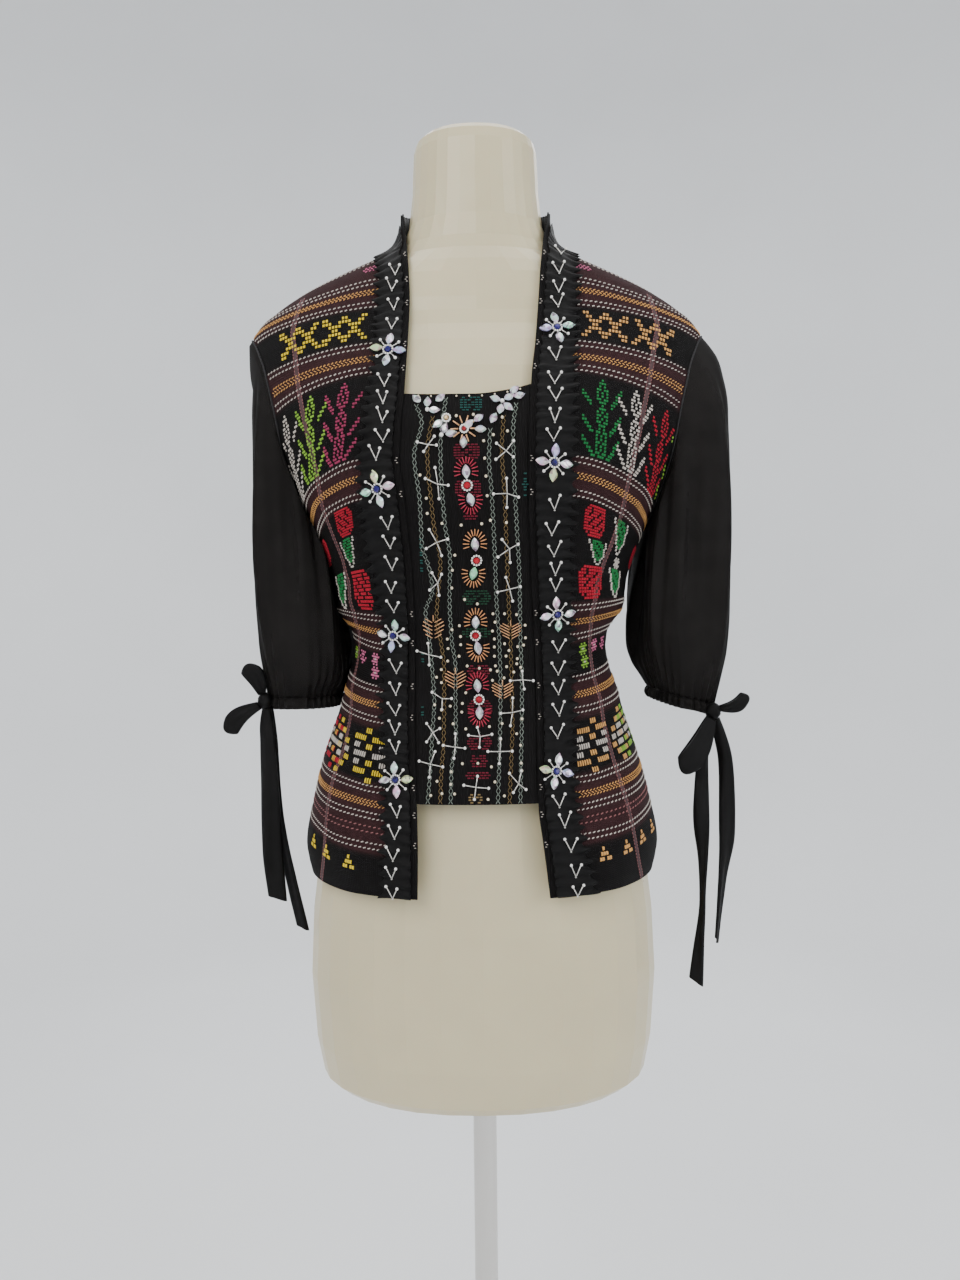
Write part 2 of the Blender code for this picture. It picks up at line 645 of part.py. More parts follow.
def sleeve_pieces(side, sheer):
    """A full sleeve that hangs from the armhole and is gathered into a narrow cuff."""
    word = "left" if side < 0 else "right"
    rings = SLEEVE_RINGS_LEFT if side < 0 else SLEEVE_RINGS_RIGHT
    cuff = CUFF_LEFT if side < 0 else CUFF_RIGHT
    start = armhole_ring(side)
    count = len(start)
    angles = [2 * math.pi * i / count for i in range(count)]
    end_z = [blend(cuff.outer_z, cuff.inner_z, (1 - math.cos(a)) / 2) for a in angles]
    power = 2 / SLEEVE_ROUND
    grid = [start]
    for ring in rings:
        leave = 1 - (1 - min(ring.share / SLEEVE_LEAVES, 1.0)) ** 2
        gather = max(0.0, (ring.share - 0.70) / 0.30) ** 1.5
        soft = SLEEVE_FOLD_RISE * math.sin(math.pi * min(ring.share / 0.95, 1.0)) ** 2
        row = []
        for i, angle in enumerate(angles):
            rise = soft * math.cos(SLEEVE_FOLDS * angle + 3 * ring.share)
            rise += gather * CUFF_GATHER_RISE * (1 if i % 2 else -1)
            sine, cosine = math.sin(angle), math.cos(angle)
            x = side * (ring.middle + (ring.half_width + rise) * math.copysign(abs(cosine) ** power, cosine))
            y = -(ring.half_depth + rise) * math.copysign(abs(sine) ** power, sine)
            z = blend(start[i][2], end_z[i], ring.share)
            point = (blend(start[i][0], x, leave), blend(start[i][1], y, leave), z)
            row.append(clear_of_trunk(point, SLEEVE_CLEARANCE))
        grid.append(np.array(row))
    outside = np.array(grid)
    inside = tube_inside(outside, SLEEVE_WALL)
    into_hole = (start.mean(axis=0) - start) * (0.0, 1.0, 1.0)
    inside[0] = start + into_hole * SLEEVE_WALL / np.linalg.norm(into_hole, axis=1, keepdims=True)
    middle = outside[-1].mean(axis=0)
    inward = (middle - outside[-1]) * (1.0, 1.0, 0.0)
    inward /= np.linalg.norm(inward, axis=1, keepdims=True)
    inside[-1] = outside[-1] + inward * SLEEVE_WALL
    wall(f"sleeve_{word}", outside, inside, sheer, tube=True)
    levels = []
    for step in (0.0, 0.5, 1.0):
        row = outside[-1] - inward * CUFF_ROLL * math.sin(math.pi * step)
        row[:, 2] -= SEAM_GAP + cuff.height * step
        levels.append(row)
    ring = np.array(levels)
    wall(f"cuff_{word}", ring, ring + inward * CUFF_WALL, sheer, tube=True)


def ribbon_solid(name, stretches, material):
    """A flat ribbon along a centre line, turned about it as each row says."""
    centres = np.array([(s.x, s.y, s.z) for s in stretches])
    along = np.gradient(centres, axis=0)
    along /= np.linalg.norm(along, axis=1, keepdims=True)
    sides = []
    for direction, stretch in zip(along, stretches):
        level = np.array((1.0, 0.0, 0.0)) - direction * direction[0]
        level /= np.linalg.norm(level)
        other = np.cross(direction, level)
        angle = math.radians(stretch.turn)
        sides.append(level * math.cos(angle) + other * math.sin(angle))
    sides = np.array(sides)
    normals = np.cross(along, sides)
    widths = np.array([s.width for s in stretches])[:, None] / 2
    crown = 0.0010
    rows = [centres - sides * widths, centres + normals * crown, centres + sides * widths]
    outside = np.stack(rows, axis=1)
    inside = outside - normals[:, None, :] * TIE_WALL
    wall(name, outside, inside, material)


def loop_solid(name, start, tip, width, depth, bend, material):
    """A bow loop: the ribbon runs out to the tip and back, with a slot left inside it."""
    start, tip = np.array(start), np.array(tip)
    length = np.linalg.norm(tip - start)
    axis = (tip - start) / length
    flat = np.array((0.0, -1.0, 0.0)) + axis * axis[1]
    flat /= np.linalg.norm(flat)
    lift = np.cross(axis, flat)
    layers = []
    for wall_in in (0.0, TIE_WALL):
        edges = []
        for share in (-0.5, 0.5):
            edge = []
            for i in range(LOOP_SIDES):
                angle = 2 * math.pi * i / LOOP_SIDES
                out = (1 - math.cos(angle)) / 2
                spread = width * share * (0.45 + 0.55 * math.sin(math.pi / 2 * out))
                along = length / 2 - (length / 2 - wall_in) * math.cos(angle)
                arch = bend * math.sin(math.pi * out)
                swell = (depth - wall_in) * math.sin(angle)
                edge.append(start + axis * along + flat * swell + lift * (arch + spread))
            edges.append(edge)
        layers.append(np.array(edges))
    wall(name, layers[0], layers[1], material, tube=True)


def knot_solid(name, centre, radii, material):
    """A tight knot, a flattened round with a crease."""
    body = bmesh.new()
    bmesh.ops.create_uvsphere(body, u_segments=10, v_segments=7, radius=1.0)
    for vertex in body.verts:
        x, y, z = vertex.co
        pinch = 1 - 0.12 * math.cos(3 * math.atan2(y, x)) * (1 - z * z)
        vertex.co = (
            centre[0] + x * radii[0] * pinch,
            centre[1] + y * radii[1] * pinch,
            centre[2] + z * radii[2],
        )
    points = [tuple(v.co) for v in body.verts]
    faces = [[v.index for v in f.verts] for f in body.faces]
    body.free()
    new_object(name, points, faces, material)


# Bow ties. Rows are x, y, z, width and turn about the ribbon's own line.
TAILS = {
    "tie_tail_left_front": (
        Stretch(-0.1927, -0.0334, 1.0038, 0.008, 0),
        Stretch(-0.1932, -0.0345, 0.9900, 0.012, 8),
        Stretch(-0.1925, -0.0355, 0.9700, 0.0145, 14),
        Stretch(-0.1909, -0.0355, 0.9307, 0.017, 8),
        Stretch(-0.1900, -0.0355, 0.9000, 0.0175, -6),
        Stretch(-0.1890, -0.0355, 0.8720, 0.018, -10),
        Stretch(-0.1856, -0.0355, 0.8313, 0.016, -4),
    ),
    "tie_tail_left_rear": (
        Stretch(-0.1918, -0.0299, 1.0038, 0.008, 6),
        Stretch(-0.1905, -0.0290, 0.9850, 0.010, 18),
        Stretch(-0.1895, -0.0280, 0.9600, 0.012, 26),
        Stretch(-0.1882, -0.0275, 0.9306, 0.012, 24),
        Stretch(-0.1850, -0.0270, 0.9000, 0.012, 30),
        Stretch(-0.1811, -0.0270, 0.8760, 0.012, 30),
        Stretch(-0.1737, -0.0270, 0.8394, 0.012, 26),
        Stretch(-0.1653, -0.0270, 0.8017, 0.011, 20),
    ),
    "tie_tail_right_front": (
        Stretch(0.2072, -0.0360, 0.9907, 0.009, 0),
        Stretch(0.2030, -0.0362, 0.9750, 0.010, -14),
        Stretch(0.1998, -0.0360, 0.9537, 0.012, -22),
        Stretch(0.1985, -0.0360, 0.9250, 0.014, -12),
        Stretch(0.1979, -0.0360, 0.8990, 0.0145, 8),
        Stretch(0.1986, -0.0360, 0.8630, 0.010, 40),
        Stretch(0.1983, -0.0360, 0.8254, 0.007, 60),
        Stretch(0.1951, -0.0360, 0.7851, 0.010, 38),
        Stretch(0.1928, -0.0360, 0.7510, 0.013, 18),
    ),
    "tie_tail_right_rear": (
        Stretch(0.2112, -0.0331, 0.9907, 0.008, 0),
        Stretch(0.2160, -0.0305, 0.9740, 0.011, 16),
        Stretch(0.2205, -0.0300, 0.9530, 0.013, 24),
        Stretch(0.2223, -0.0300, 0.9263, 0.014, 12),
        Stretch(0.2230, -0.0300, 0.8850, 0.015, -12),
        Stretch(0.2185, -0.0300, 0.8400, 0.011, -44),
        Stretch(0.2133, -0.0300, 0.7867, 0.008, -60),
    ),
}
Loop = namedtuple("Loop", "start tip width depth bend")
LOOPS = {
    "tie_loop_left_upper": Loop((-0.1961, -0.0330, 1.0172), (-0.2075, -0.0420, 1.0450), 0.017, 0.0038, 0.002),
    "tie_loop_left_lower": Loop((-0.1990, -0.0325, 1.0070), (-0.2300, -0.0370, 0.9845), 0.018, 0.0038, 0.003),
    "tie_loop_right_upper": Loop((0.2139, -0.0350, 0.9999), (0.2405, -0.0380, 1.0105), 0.013, 0.0038, 0.003),
    "tie_loop_right_lower": Loop((0.2058, -0.0395, 0.9922), (0.1793, -0.0475, 0.9435), 0.022, 0.0045, -0.002),
}
Knot = namedtuple("Knot", "centre radii")
KNOTS = {
    "tie_knot_left": Knot((-0.1937, -0.0318, 1.0108), (0.0050, 0.0065, 0.0065)),
    "tie_knot_right": Knot((0.2088, -0.0348, 0.9977), (0.0055, 0.0065, 0.0065)),
}


def dress_form(shell):
    """The limbless form: one closed loft with a flat underside and a domed neck."""
    width, front, back = (Profile(FORM, c) for c in ("half_width", "front", "back"))
    levels = [row.z for row in FORM]
    points = []
    for z in levels:
        for i in range(FORM_SIDES):
            turn = 2 * math.pi * i / FORM_SIDES
            sine, cosine = math.sin(turn), math.cos(turn)
            back_half = cosine < 0
            power = 2 / (BACK_ROUND if back_half else FRONT_ROUND)
            x = math.copysign(width(z) * abs(sine) ** power, sine)
            y = abs(cosine) ** power * (back(z) if back_half else front(z))
            points.append((x, y if back_half else -y, z))
    first = points[:FORM_SIDES]
    shrink = 1 - FORM_CORNER / FORM[0].half_width
    foot = [(x * shrink, y * shrink, FORM_BOTTOM_Z) for x, y, _ in first]
    points = foot + points + [(0.0, 0.001, FORM_TOP_Z)]
    rings = len(levels) + 1
    faces = [list(range(FORM_SIDES))[::-1]]
    for ring in range(rings - 1):
        for i in range(FORM_SIDES):
            j = (i + 1) % FORM_SIDES
            low, high = ring * FORM_SIDES, (ring + 1) * FORM_SIDES
            faces.append([low + i, low + j, high + j, high + i])
    last = (rings - 1) * FORM_SIDES
    for i in range(FORM_SIDES):
        faces.append([last + i, last + (i + 1) % FORM_SIDES, len(points) - 1])
    new_object("dress_form", points, faces, shell)


def turned(name, profile, material):
    """A round solid turned from (radius, z) rows, closed on the axis at both ends."""
    points, faces = [], []
    for radius, z in profile:
        for i in range(ROUND_SIDES):
            angle = 2 * math.pi * i / ROUND_SIDES
            points.append((radius * math.cos(angle), radius * math.sin(angle), z))
    rings = len(profile)
    for ring in range(rings - 1):
        for i in range(ROUND_SIDES):
            j = (i + 1) % ROUND_SIDES
            low, high = ring * ROUND_SIDES, (ring + 1) * ROUND_SIDES
            faces.append([low + i, low + j, high + j, high + i])
    faces.append(list(range(ROUND_SIDES))[::-1])
    top = (rings - 1) * ROUND_SIDES
    faces.append(list(range(top, top + ROUND_SIDES)))
    new_object(name, points, faces, material)


def stand(metal):
    """The base plate with its hub, the pole, and the flange that carries the form."""
    corner = 0.003
    turned(
        "stand_base",
        (
            (BASE_RADIUS - corner / 2, 0.0),
            (BASE_RADIUS, corner / 2),
            (BASE_RADIUS, BASE_HEIGHT - corner),
            (BASE_RADIUS - corner, BASE_HEIGHT),
            (HUB_RADIUS + corner, BASE_HEIGHT + corner),
            (HUB_RADIUS, BASE_HEIGHT + 2 * corner),
            (HUB_RADIUS, BASE_HEIGHT + HUB_HEIGHT - corner),
            (HUB_RADIUS - corner, BASE_HEIGHT + HUB_HEIGHT),
        ),
        metal,
    )
    flange_top = FORM_BOTTOM_Z - SEAM_GAP
    flange_bottom = flange_top - FLANGE_HEIGHT
    turned(
        "stand_flange",
        (
            (POLE_RADIUS + corner, flange_bottom - corner),
            (FLANGE_RADIUS - corner, flange_bottom + corner),
            (FLANGE_RADIUS, flange_bottom + 2 * corner),
            (FLANGE_RADIUS, flange_top),
        ),
        metal,
    )
    pole_bottom = BASE_HEIGHT + HUB_HEIGHT + SEAM_GAP
    pole_top = flange_bottom - corner - SEAM_GAP
    turned("stand_pole", ((POLE_RADIUS, pole_bottom), (POLE_RADIUS, pole_top)), metal)


def stone_flower(name, sprig, carrier, stone):
    """A low flower of pointed stones round a middle one, seated on the piece that carries it."""
    per_petal = 4
    count = sprig.petals * per_petal
    side = 1 if sprig.x > 0 else -1

    def over_cloth(angle, radius, height):
        x = sprig.x + radius * math.sin(angle)
        z = sprig.z + radius * math.cos(angle)
        return cloth_point(turn_at(abs(x), z, False), z, 1 if x > 0 else -1, False, height)

    reach = (1.0, 0.72, 0.36, 0.72)
    angles = [2 * math.pi * i / count * side for i in range(count)]
    edge = [sprig.size * reach[i % per_petal] for i in range(count)]
    tree = BVHTree.FromPolygons(
        [vertex.co for vertex in carrier.data.vertices],
        [face.vertices for face in carrier.data.polygons],
    )
    above = 0.010
    nearest = 2 * above
    for part in range(1, 13):
        for i in range(48):
            place = 2 * math.pi * i / 48, sprig.size * part / 12
            start, foot = Vector(over_cloth(*place, above)), Vector(over_cloth(*place, 0.0))
            hit = tree.ray_cast(start, (foot - start).normalized(), 2 * above)
            if hit[0] is not None:
                nearest = min(nearest, hit[3])
    lift = above - nearest + STONE_GAP
    bottom = [over_cloth(a, r, lift) for a, r in zip(angles, edge)]
    rim = [over_cloth(a, r, lift + STONE_EDGE) for a, r in zip(angles, edge)]
    crown = [over_cloth(a, sprig.size * 0.3, lift + STONE_HEIGHT) for a in angles]
    middle = [over_cloth(0.0, 0.0, lift + STONE_HEIGHT), over_cloth(0.0, 0.0, lift)]
    points = bottom + rim + crown + middle
    faces = []
    for i in range(count):
        j = (i + 1) % count
        faces.append([i, j, count + j, count + i])
        faces.append([count + i, count + j, 2 * count + j, 2 * count + i])
        faces.append([2 * count + i, 2 * count + j, 3 * count])
        faces.append([j, i, 3 * count + 1])
    new_object(name, points, faces, stone)


def stones(stone):
    """Flowers down each ribbon and along the neckline."""
    for word, sprigs in RIBBON_FLOWERS.items():
        ribbon = bpy.data.objects[f"ribbon_{word}"]
        for number, sprig in enumerate(sprigs, 1):
            stone_flower(f"stone_flower_{word}_{number}", sprig, ribbon, stone)
    panel = bpy.data.objects["centre_panel"]
    for number, sprig in enumerate(NECKLINE_SPRIGS, 1):
        stone_flower(f"stone_sprig_{number}", sprig, panel, stone)


def finish(name, colour, roughness, metallic=0.0, alpha=1.0):
    material = bpy.data.materials.new(name)
    material.use_nodes = True
    shader = material.node_tree.nodes["Principled BSDF"]
    shader.inputs["Base Color"].default_value = (*colour, 1.0)
    shader.inputs["Roughness"].default_value = roughness
    shader.inputs["Metallic"].default_value = metallic
    shader.inputs["Alpha"].default_value = alpha
    return material


def main():
    for item in list(bpy.data.objects):
        bpy.data.objects.remove(item)
    woven = finish("woven_cloth", (0.030, 0.020, 0.022), 0.85)
    satin = finish("ruched_ribbon", (0.012, 0.011, 0.012), 0.55)
    sheer = finish("sheer_sleeve", (0.018, 0.018, 0.020), 0.60)
    stone = finish("clear_stone", (0.86, 0.88, 0.92), 0.10)
    shell = finish("form_shell", (0.80, 0.75, 0.62), 0.35)
    metal = finish("stand_metal", (0.62, 0.60, 0.57), 0.30, 1.0)
    dress_form(shell)
    stand(metal)
    left = front_pieces(-1, woven, satin)
    right = front_pieces(1, woven, satin)
    grid = back_grid()
    wall("back", grid, moved_out(grid, -WOVEN_WALL), woven)
    centre_panel(left, right, woven)
    collar(grid[-1, BACK_SHOULDER:-BACK_SHOULDER], satin)
    for side in (-1, 1):
        sleeve_pieces(side, sheer)
    for name, rows in TAILS.items():
        ribbon_solid(name, rows, satin)
    for name, loop in LOOPS.items():
        loop_solid(name, *loop, satin)
    for name, knot in KNOTS.items():
        knot_solid(name, knot.centre, knot.radii, satin)
    stones(stone)


main()
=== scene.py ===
"""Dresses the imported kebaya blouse: woven cloth, ruched bands, sheer sleeves, bows and bead work.

Metres, +Z up, the front faces -Y. Left and right are the viewer's. The cloth follows the surface
that the solids were cut from, and every stitch and bead is seated on the cloth's own mesh.
"""

import json
import math
import random
from collections import namedtuple

import bmesh
import bpy
import numpy as np
from mathutils import Matrix, Vector, noise
from mathutils.bvhtree import BVHTree

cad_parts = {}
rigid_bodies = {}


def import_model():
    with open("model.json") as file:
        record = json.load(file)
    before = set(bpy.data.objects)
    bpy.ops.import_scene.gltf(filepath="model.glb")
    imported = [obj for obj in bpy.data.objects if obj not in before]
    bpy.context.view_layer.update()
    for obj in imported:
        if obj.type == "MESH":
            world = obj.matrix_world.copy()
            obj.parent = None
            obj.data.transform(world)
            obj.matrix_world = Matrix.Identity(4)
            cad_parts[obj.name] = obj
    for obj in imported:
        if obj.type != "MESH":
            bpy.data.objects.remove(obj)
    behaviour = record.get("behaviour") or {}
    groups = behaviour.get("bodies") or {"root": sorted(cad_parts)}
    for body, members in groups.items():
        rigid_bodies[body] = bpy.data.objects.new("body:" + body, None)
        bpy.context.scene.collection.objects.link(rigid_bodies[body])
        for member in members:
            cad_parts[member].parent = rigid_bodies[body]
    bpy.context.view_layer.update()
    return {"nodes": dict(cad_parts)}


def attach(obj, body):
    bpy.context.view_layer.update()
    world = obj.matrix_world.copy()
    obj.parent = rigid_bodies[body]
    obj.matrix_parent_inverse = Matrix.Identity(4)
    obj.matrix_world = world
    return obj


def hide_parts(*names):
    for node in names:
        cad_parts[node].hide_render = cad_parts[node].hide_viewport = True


bl_info = {
    "name": "Kebaya blouse looks",
    "version": (1, 0, 0),
    "blender": (4, 5, 0),
    "location": "3D View > Sidebar > Kebaya",
    "description": "Builds the cloth, trims, bead work and stage of the kebaya blouse",
    "category": "Object",
}

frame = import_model()

SIDES = ((-1, "left"), (1, "right"))

HEM_Z = 0.856
UNDERARM_Z = 1.165
SHOULDER_TIP_Z = 1.337
NECK_SIDE_Z = 1.406
COLLAR_SIDE_Z = 1.452
COLLAR_NAPE_Z = 1.472
NAPE_Z = 1.429
PANEL_BOTTOM_Z = 0.9325

WOVEN_WALL = 0.0012
PANEL_WALL = 0.0010
PANEL_DEPTH = 0.0019
RIBBON_WALL = 0.0012
SLEEVE_WALL = 0.0010
CUFF_WALL = 0.0014
SEAM_GAP = 0.0003
ARMHOLE_GAP = 0.0008
RIBBON_GAP = 0.0006

# The woven edge that shows past the ribbon's inner side
WOVEN_STRIP = 0.005
# How square the trunk's sections are: 2 is an ellipse
FRONT_ROUND = 2.2
BACK_ROUND = 2.3


def rows_of(kind, *rows):
    """A table: each row of numbers under the kind's named columns."""
    return tuple(kind(*row) for row in rows)


# Outer face of the cloth, by height
Trunk = namedtuple("Trunk", "z half_width front back")
TRUNK = rows_of(
    Trunk,
    (0.856, 0.157, 0.127, 0.128), (0.880, 0.162, 0.127, 0.129), (0.925, 0.153, 0.121, 0.123),
    (0.965, 0.141, 0.113, 0.110), (1.000, 0.130, 0.107, 0.097), (1.040, 0.118, 0.102, 0.087),
    (1.060, 0.1155, 0.102, 0.084), (1.074, 0.1175, 0.103, 0.084), (1.088, 0.1260, 0.107, 0.087),
    (1.105, 0.1310, 0.111, 0.089), (1.130, 0.138, 0.118, 0.092), (1.165, 0.150, 0.129, 0.098),
    (1.200, 0.168, 0.137, 0.103), (1.235, 0.184, 0.136, 0.108), (1.270, 0.196, 0.124, 0.112),
    (1.305, 0.2035, 0.107, 0.109), (1.332, 0.2045, 0.092, 0.100), (1.345, 0.1980, 0.086, 0.096),
    (1.358, 0.1830, 0.0815, 0.0925), (1.370, 0.1650, 0.0775, 0.0895), (1.382, 0.1420, 0.0735, 0.0865),
    (1.394, 0.1150, 0.0695, 0.0835), (1.406, 0.0860, 0.0650, 0.0800), (1.416, 0.0755, 0.0620, 0.0770),
    (1.430, 0.0690, 0.0595, 0.0730), (1.445, 0.0670, 0.0585, 0.0710), (1.475, 0.0660, 0.0585, 0.0700),
)

# Front opening: where the woven cloth ends and where the ribbon ends, measured from the centre line
Edge = namedtuple("Edge", "z inner outer")
EDGE_LEFT = rows_of(
    Edge,
    (0.856, 0.0532, 0.0819), (0.896, 0.0527, 0.0804), (0.930, 0.0534, 0.0805), (0.983, 0.0548, 0.0811),
    (1.033, 0.0547, 0.0816), (1.084, 0.0542, 0.0813), (1.117, 0.0548, 0.0858), (1.156, 0.0574, 0.0922),
    (1.185, 0.0596, 0.0946), (1.212, 0.0625, 0.0945), (1.241, 0.0608, 0.0895), (1.267, 0.0585, 0.0868),
    (1.291, 0.0574, 0.0841), (1.318, 0.0564, 0.0836), (1.350, 0.0559, 0.0832), (1.376, 0.0570, 0.0830),
    (1.406, 0.0600, 0.0860), (1.452, 0.0667, 0.0860),
)
EDGE_RIGHT = rows_of(
    Edge,
    (0.856, 0.0552, 0.0930), (0.883, 0.0522, 0.0865), (0.904, 0.0496, 0.0822), (0.928, 0.0468, 0.0785),
    (0.967, 0.0464, 0.0767), (1.016, 0.0465, 0.0770), (1.066, 0.0454, 0.0770), (1.107, 0.0430, 0.0750),
    (1.147, 0.0414, 0.0744), (1.186, 0.0399, 0.0756), (1.217, 0.0401, 0.0758), (1.257, 0.0420, 0.0773),
    (1.283, 0.0440, 0.0788), (1.311, 0.0478, 0.0809), (1.359, 0.0526, 0.0850), (1.377, 0.0541, 0.0855),
    (1.406, 0.0580, 0.0860), (1.452, 0.0667, 0.0860),
)

# Armhole seam, by height: how far out it runs on the front and on the back
Armhole = namedtuple("Armhole", "z front back")
ARMHOLE = rows_of(
    Armhole,
    (1.165, 0.1500, 0.1500), (1.180, 0.1530, 0.1550), (1.200, 0.1600, 0.1630), (1.225, 0.1670, 0.1720),
    (1.255, 0.1720, 0.1800), (1.280, 0.1780, 0.1860), (1.305, 0.1850, 0.1930), (1.325, 0.1945, 0.1985),
    (1.337, 0.2030, 0.2030),
)

# Heights of the panels' rows, from hem to underarm and from underarm to shoulder seam
LOW_LEVELS = (
    0.856, 0.880, 0.905, 0.9325, 0.965, 1.000, 1.035, 1.060, 1.074, 1.088, 1.105, 1.135, 1.165
)
Level = namedtuple("Level", "armhole outer inner")
HIGH_LEVELS = rows_of(
    Level,
    (1.180, 1.202, 1.202), (1.200, 1.240, 1.240), (1.222, 1.271, 1.268), (1.246, 1.307, 1.308),
    (1.270, 1.337, 1.342), (1.292, 1.362, 1.371), (1.311, 1.382, 1.397), (1.325, 1.3955, 1.421),
    (1.334, 1.4035, 1.440), (1.337, 1.406, 1.452),
)

# Soft folds of the trunk: a ridge on one side of the front or back
Fold = namedtuple("Fold", "x z length width rise slope")
FRONT_FOLDS = rows_of(
    Fold,
    (0.112, 1.096, 0.040, 0.014, 0.0045, -8), (-0.108, 1.100, 0.036, 0.014, 0.0040, 10),
    (0.118, 1.150, 0.050, 0.017, 0.0035, 38), (-0.116, 1.160, 0.052, 0.017, 0.0035, -42),
    (0.120, 0.905, 0.060, 0.019, 0.0040, 78), (-0.122, 0.910, 0.062, 0.019, 0.0045, -76),
    (0.100, 1.010, 0.045, 0.015, 0.0028, 24), (-0.100, 1.020, 0.045, 0.015, 0.0028, -20),
    # Finer creases than the solids carry
    (0.104, 1.076, 0.020, 0.0060, 0.0016, 6), (-0.100, 1.080, 0.020, 0.0060, 0.0016, -8),
    (0.110, 1.118, 0.022, 0.0065, 0.0015, -20), (-0.112, 1.124, 0.022, 0.0065, 0.0015, 24),
    (0.140, 1.196, 0.026, 0.0070, 0.0016, 46), (-0.140, 1.200, 0.026, 0.0070, 0.0016, -48),
    (0.128, 1.176, 0.022, 0.0060, 0.0013, 34), (-0.128, 1.178, 0.022, 0.0060, 0.0013, -30),
    (0.150, 1.330, 0.040, 0.0090, 0.0012, -22), (-0.150, 1.328, 0.040, 0.0090, 0.0012, 20),
    (0.098, 0.960, 0.040, 0.0080, 0.0015, 66), (-0.100, 0.955, 0.040, 0.0080, 0.0015, -64),
)
BACK_FOLDS = rows_of(
    Fold,
    (0.060, 1.085, 0.060, 0.014, 0.0042, -14), (-0.055, 1.100, 0.058, 0.014, 0.0045, 12),
    (0.010, 1.060, 0.070, 0.013, 0.0035, 2), (0.095, 0.900, 0.060, 0.020, 0.0050, 80),
    (0.000, 0.895, 0.060, 0.022, 0.0045, 90), (-0.095, 0.900, 0.060, 0.020, 0.0050, -80),
    (0.118, 1.190, 0.055, 0.018, 0.0035, -50), (-0.118, 1.190, 0.055, 0.018, 0.0035, 50),
    # Finer creases than the solids carry
    (0.030, 1.105, 0.040, 0.0070, 0.0018, -10), (-0.028, 1.075, 0.040, 0.0070, 0.0018, 8),
    (0.085, 1.070, 0.030, 0.0065, 0.0016, -18), (-0.085, 1.068, 0.030, 0.0065, 0.0016, 20),
    (0.050, 0.930, 0.050, 0.0090, 0.0018, 84), (-0.048, 0.935, 0.050, 0.0090, 0.0018, -82),
    (0.100, 1.300, 0.050, 0.0090, 0.0014, -60), (-0.100, 1.300, 0.050, 0.0090, 0.0014, 60),
)

# Sleeve rings, from armhole to cuff: share of the way, middle, half width and half depth
Ring = namedtuple("Ring", "share middle half_width half_depth")
SLEEVE_RINGS_LEFT = rows_of(
    Ring,
    (0.05, 0.1735, 0.0275, 0.065), (0.12, 0.1721, 0.0301, 0.065), (0.20, 0.1703, 0.0333, 0.065),
    (0.32, 0.1671, 0.0371, 0.065), (0.46, 0.1644, 0.0404, 0.064), (0.60, 0.1619, 0.0429, 0.063),
    (0.73, 0.1595, 0.0440, 0.061), (0.84, 0.1583, 0.0433, 0.057), (0.92, 0.1590, 0.0400, 0.050),
    (0.97, 0.1615, 0.0355, 0.042), (1.00, 0.1628, 0.0328, 0.036),
)
SLEEVE_RINGS_RIGHT = rows_of(
    Ring,
    (0.05, 0.1910, 0.0410, 0.066), (0.12, 0.1877, 0.0387, 0.066), (0.20, 0.1869, 0.0394, 0.065),
    (0.32, 0.1865, 0.0415, 0.064), (0.46, 0.1856, 0.0431, 0.062), (0.60, 0.1847, 0.0439, 0.060),
    (0.73, 0.1840, 0.0438, 0.058), (0.84, 0.1846, 0.0411, 0.054), (0.92, 0.1850, 0.0355, 0.047),
    (0.97, 0.1855, 0.0315, 0.039), (1.00, 0.1860, 0.0290, 0.034),
)
# Share of the sleeve over which it leaves the armhole's outline
SLEEVE_LEAVES = 0.20
SLEEVE_ROUND = 2.5
SLEEVE_CLEARANCE = 0.0030
# Cuff heights on the outer side of the arm and on the side towards the trunk
Cuff = namedtuple("Cuff", "outer_z inner_z height")
CUFF_LEFT = Cuff(1.013, 1.014, 0.010)
CUFF_RIGHT = Cuff(1.001, 1.018, 0.010)
SLEEVE_FOLD_RISE = 0.0040
CUFF_GATHER_RISE = 0.0017


class Profile:
    """A smooth curve through a table's column that never overshoots its rows."""

    def __init__(self, rows, column, key="z"):
        self.at = [getattr(row, key) for row in rows]
        self.value = [getattr(row, column) for row in rows]
        steps = [b - a for a, b in zip(self.at, self.at[1:])]
        slopes = [(b - a) / h for a, b, h in zip(self.value, self.value[1:], steps)]
        tangents = [slopes[0]]
        for before, after in zip(slopes, slopes[1:]):
            together = before * after
            tangents.append(2 * together / (before + after) if together > 0 else 0.0)
        tangents.append(slopes[-1])
        self.tangent = tangents

    def __call__(self, where):
        where = min(max(where, self.at[0]), self.at[-1])
        i = 0
        while i < len(self.at) - 2 and where > self.at[i + 1]:
            i += 1
        step = self.at[i + 1] - self.at[i]
        u = (where - self.at[i]) / step
        start, end = self.value[i], self.value[i + 1]
        return (
            start * (1 + 2 * u) * (1 - u) ** 2
            + end * u * u * (3 - 2 * u)
            + step * self.tangent[i] * u * (1 - u) ** 2
            + step * self.tangent[i + 1] * u * u * (u - 1)
        )


TRUNK_WIDTH = Profile(TRUNK, "half_width")
TRUNK_FRONT = Profile(TRUNK, "front")
TRUNK_BACK = Profile(TRUNK, "back")
TRUNK_MIDDLE = np.array((0.0, 0.0, 1.1))


def fold_rise(x, z, folds):
    """How far the folds lift the cloth at a point."""
    rise = 0.0
    for fold in folds:
        angle = math.radians(fold.slope)
        dx, dz = x - fold.x, z - fold.z
        along = dx * math.cos(angle) + dz * math.sin(angle)
        across = -dx * math.sin(angle) + dz * math.cos(angle)
        rise += fold.rise * math.exp(-((along / fold.length) ** 2) - (across / fold.width) ** 2)
    return rise


